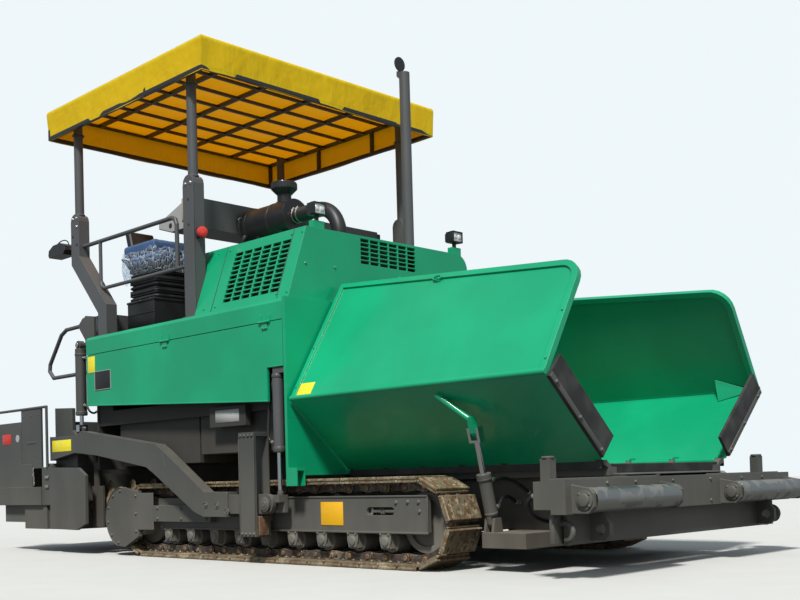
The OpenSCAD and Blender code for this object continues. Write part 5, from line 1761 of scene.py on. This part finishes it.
@dataclass
class ConsoleGear:
    """The console's end plates, dials, switches and levers."""

    front: tuple[float, float] = (-0.555, 2.775)
    rear: tuple[float, float] = (-0.935, 2.650)

    def build(self, looks: Finishes) -> None:
        """Makes the ends and the panel's gear."""
        each_side(looks, self.end)
        (x1, z1), (x0, z0) = self.front, self.rear
        ahead = Vector((x1 - x0, 0, z1 - z0))
        turn = turn_to((x0, 0, z0), ahead, ahead.cross(Vector((0, 1, 0))))
        self.panel(looks, turn)

    def end(self, looks: Finishes, side: Side) -> None:
        """The pale end plate with its hole, drawn as a thin black disc of painted shade, and the box beside
        it.
        """
        form = Form()
        outline = [
            (-0.484, 2.549), (-0.484, 2.774), (-0.556, 2.770), (-0.930, 2.647), (-0.930, 2.603),
            (-0.758, 2.549),
        ]
        form.prism(outline, Axis.Y, 0.999, 1.006, 0.0015)
        form.sided("console_end", "chassis", looks.pale, "dark_paint", side)
        dark = Form()
        # Painted shade: the hole in the end plate is a thin black disc standing in for the shade inside it.
        dark.turned([(0.021, 0), (0.021, 0.001)], (-0.767, 1.006, 2.600), (0, 1, 0), 24)
        dark.block((-0.556, 1.005, 2.585), (-0.486, 1.046, 2.768), 0.006)
        dark.sided("console_box", "chassis", looks.plastic, "black_paint", side)
        face = Form()
        face.block((-0.550, 1.012, 2.592), (-0.492, 1.049, 2.762), 0.004)
        face.sided("console_face", "chassis", looks.beige, "dark_paint", side)

    def panel(self, looks: Finishes, turn: Matrix) -> None:
        """The gauges, switches, wheel hubs and levers on the sloping panel, drawn with X up the slope."""
        black, bright, faces = Form(), Form(), Form()
        out = turn.to_3x3() @ Vector((0, 0, 1))
        for mid in (-0.62, 0.62):
            black.block((0.03, mid - 0.26, 0.0), (0.37, mid + 0.26, 0.006), 0.003, turn)
            black.block((0.20, mid - 0.09, 0.004), (0.35, mid + 0.09, 0.016), 0.004, turn)
            faces.block((0.215, mid - 0.075, 0.0155), (0.335, mid + 0.075, 0.0165), 0.0004, turn)
            for k in range(6):
                y = mid - 0.21 + 0.084 * k
                bright.turned(
                    [(0.011, 0), (0.011, 0.004), (0.005, 0.006), (0.006, 0.022), (0.003, 0.024)],
                    turn @ Vector((0.09, y, 0.005)), out, 14,
                )
                black.turned(
                    [(0.014, 0), (0.014, 0.006), (0.011, 0.014), (0.004, 0.015)],
                    turn @ Vector((0.15, y, 0.005)), out, 18,
                )
            for y in (mid - 0.17, mid + 0.17):
                bright.turned(
                    [(0.040, 0), (0.042, 0.004), (0.042, 0.010), (0.036, 0.012)],
                    turn @ Vector((0.275, y, 0.005)), out, 32,
                )
                faces.turned([(0.035, 0), (0.035, 0.0015)], turn @ Vector((0.275, y, 0.0165)), out, 32)
            lever = [
                turn @ Vector((0.06, mid + 0.24, 0.0)), turn @ Vector((0.05, mid + 0.24, 0.05)),
                turn @ Vector((0.03, mid + 0.24, 0.10)),
            ]
            bright.sweep(smooth(lever), 0.006, sides=10)
            black.turned(
                [(0.010, 0), (0.019, 0.010), (0.021, 0.028), (0.012, 0.046), (0.004, 0.050)], lever[-1],
                out, 20,
            )
            hub = turn @ Vector((0.11, mid * 0.45, 0.0))
            black.turned([(0.045, 0), (0.040, 0.02), (0.026, 0.028), (0.026, 0.070)], hub, out, 28)
            rim = [
                hub + out * 0.078 + turn.to_3x3() @ Vector((0.105 * math.cos(a), 0.105 * math.sin(a), 0))
                for a in (math.tau * k / 36 for k in range(36))
            ]
            black.sweep(rim, 0.010, sides=12, closed=True)
            for k in range(3):
                angle = math.tau * k / 3 + 0.5
                arm = turn.to_3x3() @ Vector((0.100 * math.cos(angle), 0.100 * math.sin(angle), 0))
                black.sweep([hub + out * 0.066, hub + out * 0.078 + arm], 0.007, sides=8)
        black.piece("console_controls", "chassis", looks.plastic, "black_paint")
        bright.piece("console_switches", "chassis", looks.zinc, "bright_rod")
        faces.piece("console_dials", "chassis", looks.dial, "bright_rod")


@dataclass
class Seats:
    """The two operators' seats: cushions, bellows, rests, and the film still wrapped round one of them."""

    cushion_x: tuple[float, float] = (-1.620, -1.120)
    seat_y: tuple[float, float] = (0.470, 0.890)
    seat_z: tuple[float, float] = (2.400, 2.500)
    voxel: float = 0.006
    puff: float = 0.010

    def build(self, looks: Finishes) -> None:
        """Makes both seats."""
        parts = []
        low = (self.cushion_x[0] + self.puff, self.seat_y[0] + self.puff, self.seat_z[0] + 0.004)
        high = (self.cushion_x[1] - self.puff, self.seat_y[1] - self.puff, self.seat_z[1] - self.puff)
        parts.append(("seat_cushion", self.pillow(low, high)))
        parts.append(("seat_back", self.pillow((-1.705, 0.492, 2.510), (-1.225, 0.868, 2.600))))
        for name, mesh in parts:
            for side in Side:
                form = Form()
                form.mesh.from_mesh(mesh)
                made = form.piece(
                    f"{name}_{side.word}", "chassis", looks.vinyl, "seat_vinyl", angle=60,
                    turn=flipped(side),
                )
                if side is Side.RIGHT:
                    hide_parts("seats")
        each_side(looks, self.piping, self.bellows, self.rests)
        self.wrap(looks)

    def pillow(self, low: Point, high: Point) -> bpy.types.Mesh:
        """A stuffed cushion, filled out by a short cloth simulation.

        Args:
            low: Its lowest corner.
            high: Its highest corner.

        Returns:
            The cushion's mesh.
        """
        form = Form()
        form.block(low, high, 0.018)
        data = bpy.data.meshes.new("pillow")
        form.mesh.to_mesh(data)
        form.mesh.free()
        pillow = bpy.data.objects.new("pillow", data)
        scene = bpy.context.scene
        scene.collection.objects.link(pillow)
        remesh = pillow.modifiers.new("even", "REMESH")
        remesh.mode = "VOXEL"
        remesh.voxel_size = self.voxel
        self.apply(pillow)
        rest = [vert.co.copy() for vert in pillow.data.vertices]
        cloth = pillow.modifiers.new("fill", "CLOTH")
        cloth.settings.use_pressure = True
        cloth.settings.uniform_pressure_force = 4.0
        cloth.settings.effector_weights.gravity = 0.0
        cloth.settings.tension_stiffness = 25.0
        for frame in range(1, 21):
            scene.frame_set(frame)
        self.apply(pillow)
        scene.frame_set(1)
        for vert, spot in zip(pillow.data.vertices, rest):
            move = vert.co - spot
            if move.length > self.puff:
                vert.co = spot + move.normalized() * self.puff
        smoother = pillow.modifiers.new("smooth", "SMOOTH")
        smoother.factor = 0.5
        smoother.iterations = 6
        finer = pillow.modifiers.new("finer", "SUBSURF")
        finer.levels = 1
        self.apply(pillow)
        mesh = pillow.data
        bpy.data.objects.remove(pillow)
        return mesh

    @staticmethod
    def apply(made: bpy.types.Object) -> None:
        """Turns an object's modifiers into its mesh."""
        graph = bpy.context.evaluated_depsgraph_get()
        mesh = bpy.data.meshes.new_from_object(made.evaluated_get(graph))
        made.modifiers.clear()
        made.data = mesh

    def piping(self, looks: Finishes, side: Side) -> None:
        """The piping round the cushions."""
        form = Form()
        (x0, x1), (y0, y1) = self.cushion_x, self.seat_y
        z = 2.452
        corners = [
            (x0 + 0.05, y0 + 0.004), (x1 - 0.05, y0 + 0.004), (x1 - 0.004, y0 + 0.05),
            (x1 - 0.004, y1 - 0.05), (x1 - 0.05, y1 - 0.004), (x0 + 0.05, y1 - 0.004),
            (x0 + 0.004, y1 - 0.05), (x0 + 0.004, y0 + 0.05),
        ]
        form.sweep([(x, y, z) for x, y in corners], 0.0045, sides=8, closed=True)
        form.sided("seat_piping", "chassis", looks.plastic, "seat_vinyl", side)

    def bellows(self, looks: Finishes, side: Side) -> None:
        """The folded rubber skirt between the pedestal and the seat."""
        form = Form()
        low, high, folds = 2.100, 2.396, 6
        rings = []
        for k in range(folds * 8 + 1):
            share = k / (folds * 8)
            wave = abs(math.sin(math.pi * folds * share)) ** 0.7
            inset = 0.040 - 0.040 * wave + 0.004 * share
            x0, x1, y0, y1 = -1.588 + inset, -1.172 - inset, 0.474 + inset, 0.886 - inset
            ring = []
            for cx, cy, start in ((x1, y1, 0), (x0, y1, 90), (x0, y0, 180), (x1, y0, 270)):
                for step in range(0, 91, 30):
                    angle = math.radians(start + step)
                    soft = 0.035
                    spot = (
                        cx - math.copysign(soft, cx - (x0 + x1) / 2) + soft * math.cos(angle),
                        cy - math.copysign(soft, cy - (y0 + y1) / 2) + soft * math.sin(angle),
                        low + (high - low) * share,
                    )
                    ring.append(form.mesh.verts.new(spot))
            rings.append(ring)
        form.join(rings)
        form.mesh.faces.new(rings[0])
        form.mesh.faces.new(rings[-1])
        form.sided("seat_bellows", "chassis", looks.bellows, "bellows_rubber", side, angle=60)
        rim = Form()
        rim.block((-1.591, 0.472, 2.086), (-1.172, 0.908, 2.106), 0.006)
        for x in (-1.53, -1.38, -1.23):
            rim.bolt((x, 0.9075, 2.096), (0, 1, 0), 0.008)
        for z in (1.87, 1.99):
            rim.sweep([(-1.570, 0.901, z), (-1.190, 0.901, z)], 0.004, sides=6)
        rim.sided("pedestal_rim", "chassis", looks.black, "black_paint", side)

    def rests(self, looks: Finishes, side: Side) -> None:
        """The seat's pan, the head rest and the slide handle."""
        form = Form()
        pan = [
            (-1.140, 2.396), (-1.140, 2.414), (-1.600, 2.414), (-1.728, 2.508), (-1.742, 2.504),
            (-1.612, 2.396),
        ]
        form.prism(pan, Axis.Y, 0.500, 0.860, 0.003)
        form.prism(
            [(-1.728, 2.612), (-1.648, 2.606), (-1.692, 2.752), (-1.762, 2.732)], Axis.Y, 0.556, 0.804,
            0.012,
        )
        lever = [
            (-1.190, 0.700, 2.440), (-1.150, 0.700, 2.462), (-1.110, 0.700, 2.476), (-1.075, 0.700, 2.470)
        ]
        form.sweep(smooth(lever), 0.011, sides=12)
        form.sided("seat_rests", "chassis", looks.plastic, "black_paint", side)
        rails = Form()
        for y in (0.540, 0.820):
            rails.block((-1.600, y - 0.015, 2.386), (-1.150, y + 0.015, 2.402), 0.003)
        rails.sided("seat_rails", "chassis", looks.zinc, "bright_rod", side)

    def wrap(self, looks: Finishes) -> None:
        """The thin film round the right seat's foot, loose and crumpled, with a torn tail."""
        form = Form()
        dice = random.Random(77)
        phases = [dice.uniform(0, math.tau) for _ in range(8)]
        around, up = 220, 26
        x0, x1, y0, y1 = -1.650, -1.090, -0.935, -0.445
        low, high = 2.315, 2.515
        grid = []
        for j in range(up + 1):
            share = j / up
            row = []
            for i in range(around):
                angle = math.tau * i / around
                c, s = math.cos(angle), math.sin(angle)
                half_x, half_y = (x1 - x0) / 2, (y1 - y0) / 2
                power = 0.42
                bulge = 0.012 * math.sin(math.pi * share)
                crumple = sum(
                    math.sin(angle * (5 + 4 * n) + phases[n] + share * (2 + n)) / (2 + n) for n in range(8)
                )
                reach = 1 + (bulge + 0.010 * crumple) / half_x
                x = (x0 + x1) / 2 + half_x * reach * math.copysign(abs(c) ** power, c)
                y = (y0 + y1) / 2 + half_y * reach * math.copysign(abs(s) ** power, s)
                z = low + (high - low) * share + 0.014 * crumple
                z -= 0.055 * (1 - share) * max(0.0, math.cos(angle - 3.9)) ** 6
                row.append(form.mesh.verts.new((x, y, z)))
            grid.append(row)
        form.join(grid)
        film = form.piece("seat_wrap", "chassis", looks.film, "canopy_fabric", angle=180)


@dataclass
class ScreedGear:
    """The screed's chains, latches, labels, spindles and side plates' fittings."""

    gate_out: float = 1.290
    eye_x: float = -1.823
    cylinder_y: float = 1.214

    def build(self, looks: Finishes) -> None:
        """Makes both sides."""
        each_side(looks, self.gate, self.tower, self.lift, self.hoses)

    def gate(self, looks: Finishes, side: Side) -> None:
        """The fittings of one end gate: handle, latches, bend, spindles and chains."""
        body = f"screed_extension_{side.word}"
        y = self.gate_out
        form = Form()
        form.sweep(
            smooth(
                [
                    (-1.728, y - 0.004, 0.368), (-1.728, y - 0.0125, 0.370), (-1.728, y - 0.0125, 0.520),
                    (-1.728, y - 0.004, 0.522),
                ]
            ),
            0.010, sides=10,
        )
        form.sweep([(-2.140, y - 0.003, 0.215), (-2.140, y - 0.003, 0.730)], 0.004, sides=6)
        form.sweep([(-1.745, y - 0.003, 0.212), (-1.745, y - 0.003, 0.715)], 0.003, sides=6)
        for x in (-2.20, -1.98, -1.84, -1.70):
            for z in (0.260, 0.660):
                form.bolt((x, y - 0.0055, z), (0, 1, 0), 0.007)
        for x in (-3.24, -3.00, -2.76, -2.50):
            form.bolt((x, y - 0.0045, 0.545), (0, 1, 0), 0.007)
            form.bolt((x, y - 0.0045, 0.445), (0, 1, 0), 0.007)
        for x in (-2.73, -2.585, -2.44):
            for z in (0.79, 1.20):
                form.bolt((x, 1.2765, z), (0, 1, 0), 0.008)
        form.block((-2.66, 1.268, 0.95), (-2.51, 1.283, 0.975), 0.003)
        form.sided("gate_fittings", body, looks.dark, "dark_paint", side)
        bright = Form()
        for x in (-2.727, -2.653, -2.579):
            bright.rod((x, 1.236, 0.235), (x, 1.236, 0.412), 0.011)
            for k in range(12):
                bright.turned(
                    [(0.0125, 0), (0.0135, 0.002), (0.0125, 0.004)], (x, 1.236, 0.252 + 0.013 * k),
                    (0, 0, 1), 12,
                )
        for z in (0.560, 0.640):
            bright.block((-2.345, y - 0.010, z), (-2.285, y - 0.002, z + 0.026), 0.003)
        bright.sided("gate_spindles", body, looks.zinc, "bright_rod", side)
        self.chain(looks, side, body)
        red, oval = Form(), Form()
        red.block((-3.120, 1.2845, 0.965), (-2.960, 1.2865, 1.055), 0.0008)
        red.sided("gate_marker", body, looks.red, "dark_paint", side)
        oval.turned([(0.034, 0), (0.034, 0.002)], (-2.830, 1.2845, 1.010), (0, 1, 0), 28)
        oval.sided("gate_label", body, looks.pale, "dark_paint", side)

    def chain(self, looks: Finishes, side: Side, body: str) -> None:
        """The short chains that hang from the rail behind the gate."""
        form = Form()
        for start, end, links in (
            ((-2.560, 1.284, 0.735), (-2.545, 1.284, 0.590), 7),
            ((-3.120, 1.284, 0.575), (-3.112, 1.284, 0.430), 7),
        ):
            first, last = Vector(start), Vector(end)
            for k in range(links):
                spot = first.lerp(last, (k + 0.5) / links)
                wide, tall = 0.008, 0.014
                across, aside = (0.3, 0.39) if k % 2 else (1.0, 0.0)
                loop = []
                for n in range(14):
                    angle = math.tau * n / 14
                    dx = wide * math.cos(angle)
                    loop.append(spot + Vector((dx * across, dx * aside - 0.003, tall * math.sin(angle))))
                form.sweep(loop, 0.0028, sides=6, closed=True)
        form.sided("gate_chains", body, looks.zinc, "bright_rod", side)

    def tower(self, looks: Finishes, side: Side) -> None:
        """The bolts, ribs and grip plate of one end tower."""
        form = Form()
        y = 1.170
        for k in range(6):
            form.bolt((-2.335 + 0.052 * k, y - 0.029, 1.222 - 0.002 * k), (0, -1, 0), 0.008)
        for z in (0.605, 0.735):
            form.turned(
                [(0.052, -0.001), (0.060, 0.003), (0.060, 0.012), (0.052, 0.016)], (-2.310, 0.060, z),
                (0, 1, 0), 36,
            )
            form.turned(
                [(0.052, 0), (0.060, 0.003), (0.060, 0.012), (0.052, 0.016)], (-2.310, 1.112, z), (0, 1, 0),
                36,
            )
        for x in (-2.30, -2.16):
            form.block((x, 0.26, 1.1195), (x + 0.028, 1.12, 1.1285), 0.003)
        for k in range(14):
            form.block((-2.325, 0.24 + 0.064 * k, 1.119), (-2.115, 0.248 + 0.064 * k, 1.125), 0.001)
        form.sided("tower_fittings", "screed", looks.dark, "dark_paint", side)
        deck = Form()
        for i in range(22):
            for j in range(6):
                deck.block(
                    (-3.285 + 0.085 * j + 0.02 * (i % 2), 0.10 + 0.052 * i, 0.4995),
                    (-3.245 + 0.085 * j + 0.02 * (i % 2), 0.108 + 0.052 * i, 0.5030), 0.001,
                )
        deck.sided("walkway_grip", f"screed_extension_{side.word}", looks.post, "dark_paint", side)

    def lift(self, looks: Finishes, side: Side) -> None:
        """The gland and pins of one lift cylinder."""
        form = Form()
        form.turned(band(0.0455, 0.049, 0.004, 0.034), (self.eye_x, self.cylinder_y, 1.1615), (0, 0, 1), 36)
        form.turned(band(0.0455, 0.048, 0.003, 0.021), (self.eye_x, self.cylinder_y, 1.660), (0, 0, 1), 36)
        for z in (1.24, 1.64):
            form.turned(
                [
                    (0.016, 0), (0.016, 0.012), (0.012, 0.016)
                ], (self.eye_x + 0.040, self.cylinder_y, z), (1, 0, 0), 6
            )
        form.sided("lift_gland", "lift_barrels", looks.dark, "dark_paint", side)
        pin = Form()
        pin.turned(
            [(0.019, 0), (0.021, 0.002), (0.021, 0.006), (0.012, 0.008)], (self.eye_x, 1.2445, 1.750),
            (0, 1, 0), 24,
        )
        pin.sided("lift_pin", "chassis", looks.zinc, "bright_rod", side)

    def hoses(self, looks: Finishes, side: Side) -> None:
        """The hoses that run from the rear wall to the lift cylinder."""
        for name, z, drop in (("upper", 1.640, 0.04), ("lower", 1.240, 0.05)):
            start = (self.eye_x + 0.056, self.cylinder_y, z)
            route = (
                start, (self.eye_x + 0.080, 1.213, z - 0.002), (self.eye_x + 0.108, 1.200, z - drop),
                (-1.706, 1.170, z - drop - 0.015), (-1.690, 1.150, z - drop - 0.005),
                (-1.686, 1.128, z - drop),
            )
            Hose(f"lift_{name}_hose", "lift_barrels", route, 0.009).build(looks, side, onto="chassis")


@dataclass(frozen=True)
class Studio:
    """The camera, the lamps, the floor and the sky."""

    spot: Point = (6.517, -5.929, 0.566)
    heading: float = 44.396
    tilt: float = 1.442
    lean: float = -1.567
    lens: float = 49.44
    shift: float = 0.1876

    def camera(self) -> None:
        """Sets the camera where the photograph was taken from."""
        data = bpy.data.cameras.new("camera")
        data.lens = self.lens
        data.sensor_width = 36.0
        data.shift_y = self.shift
        data.clip_end = 200.0
        made = bpy.data.objects.new("camera", data)
        bpy.context.scene.collection.objects.link(made)
        yaw, up_tilt, roll = (math.radians(v) for v in (self.heading, self.tilt, self.lean))
        back = Vector((math.sin(yaw), -math.cos(yaw), 0.0))
        ahead = -back * math.cos(up_tilt) + Vector((0, 0, 1)) * math.sin(up_tilt)
        right = ahead.cross(Vector((0, 0, 1))).normalized()
        up = right.cross(ahead)
        right_2 = right * math.cos(roll) + up * math.sin(roll)
        up_2 = up * math.cos(roll) - right * math.sin(roll)
        turn = Matrix((right_2, up_2, -ahead)).transposed().to_4x4()
        made.matrix_world = Matrix.Translation(self.spot) @ turn
        bpy.context.scene.camera = made

    def lights(self) -> None:
        """Sets the sun, the fill and the sky."""
        for name, angles, power, size in (("sun", (38, 0, 32), 4.0, 8.0), ("fill", (62, 0, 95), 0.25, 60.0)):
            lamp = bpy.data.lights.new(name, "SUN")
            lamp.energy = power
            lamp.angle = math.radians(size)
            lamp.color = (1.0, 0.98, 0.94)
            made = bpy.data.objects.new(name, lamp)
            made.rotation_euler = tuple(math.radians(v) for v in angles)
            bpy.context.scene.collection.objects.link(made)
        world = bpy.data.worlds.new("sky")
        bpy.context.scene.world = world
        world.use_nodes = True
        tree = world.node_tree
        tree.nodes.clear()
        path = tree.nodes.new("ShaderNodeLightPath")
        seen = tree.nodes.new("ShaderNodeMath")
        seen.operation = "MAXIMUM"
        tree.links.new(path.outputs["Is Camera Ray"], seen.inputs[0])
        tree.links.new(path.outputs["Is Transmission Ray"], seen.inputs[1])
        mix = tree.nodes.new("ShaderNodeMix")
        mix.data_type = "RGBA"
        mix.inputs[6].default_value = (0.30, 0.34, 0.38, 1.0)
        mix.inputs[7].default_value = (0.86, 0.93, 0.96, 1.0)
        tree.links.new(seen.outputs[0], mix.inputs["Factor"])
        shade = tree.nodes.new("ShaderNodeBackground")
        tree.links.new(mix.outputs[2], shade.inputs["Color"])
        out = tree.nodes.new("ShaderNodeOutputWorld")
        tree.links.new(shade.outputs[0], out.inputs["Surface"])

    def floor(self) -> None:
        """Lays the pale floor."""
        sheet = Sheet("floor")
        seen = sheet.node("ShaderNodeLightPath", output="Is Camera Ray")
        grain = sheet.noise(3.0, 4.0)
        pale = sheet.mix(grain, (0.60, 0.60, 0.58), (0.66, 0.66, 0.64))
        colour = sheet.mix(seen, (0.12, 0.12, 0.115), pale)
        material = sheet.close(sheet.surface(Base_Color=colour, Roughness=0.9))
        data = bpy.data.meshes.new("floor")
        reach = 60.0
        data.from_pydata(
            [(-reach, -reach, 0), (reach, -reach, 0), (reach, reach, 0), (-reach, reach, 0)], [],
            [(0, 1, 2, 3)],
        )
        data.materials.append(material)
        made = bpy.data.objects.new("floor", data)
        bpy.context.scene.collection.objects.link(made)

    def build(self) -> None:
        """Sets the view transform, the lamps, the sky and the floor."""
        bpy.context.scene.view_settings.view_transform = "Standard"
        self.lights()
        self.floor()


def main() -> None:
    """Builds the scene in order."""
    logging.basicConfig(level=logging.INFO, format="%(name)s: %(message)s")
    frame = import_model()
    studio = Studio()
    studio.camera()
    looks = Finishes()
    Carried(frame, looks).dress()
    Canopy().build(looks)
    for side in Side:
        Track(side).build(looks)
    for gear in (
        Undercarriage(), TowGear(), FrontGear(), WingGear(), BodyGear(), PostGear(), ConsoleGear(), Seats(),
        ScreedGear(),
    ):
        gear.build(looks)
    studio.build()


if __name__ == "__main__":
    main()
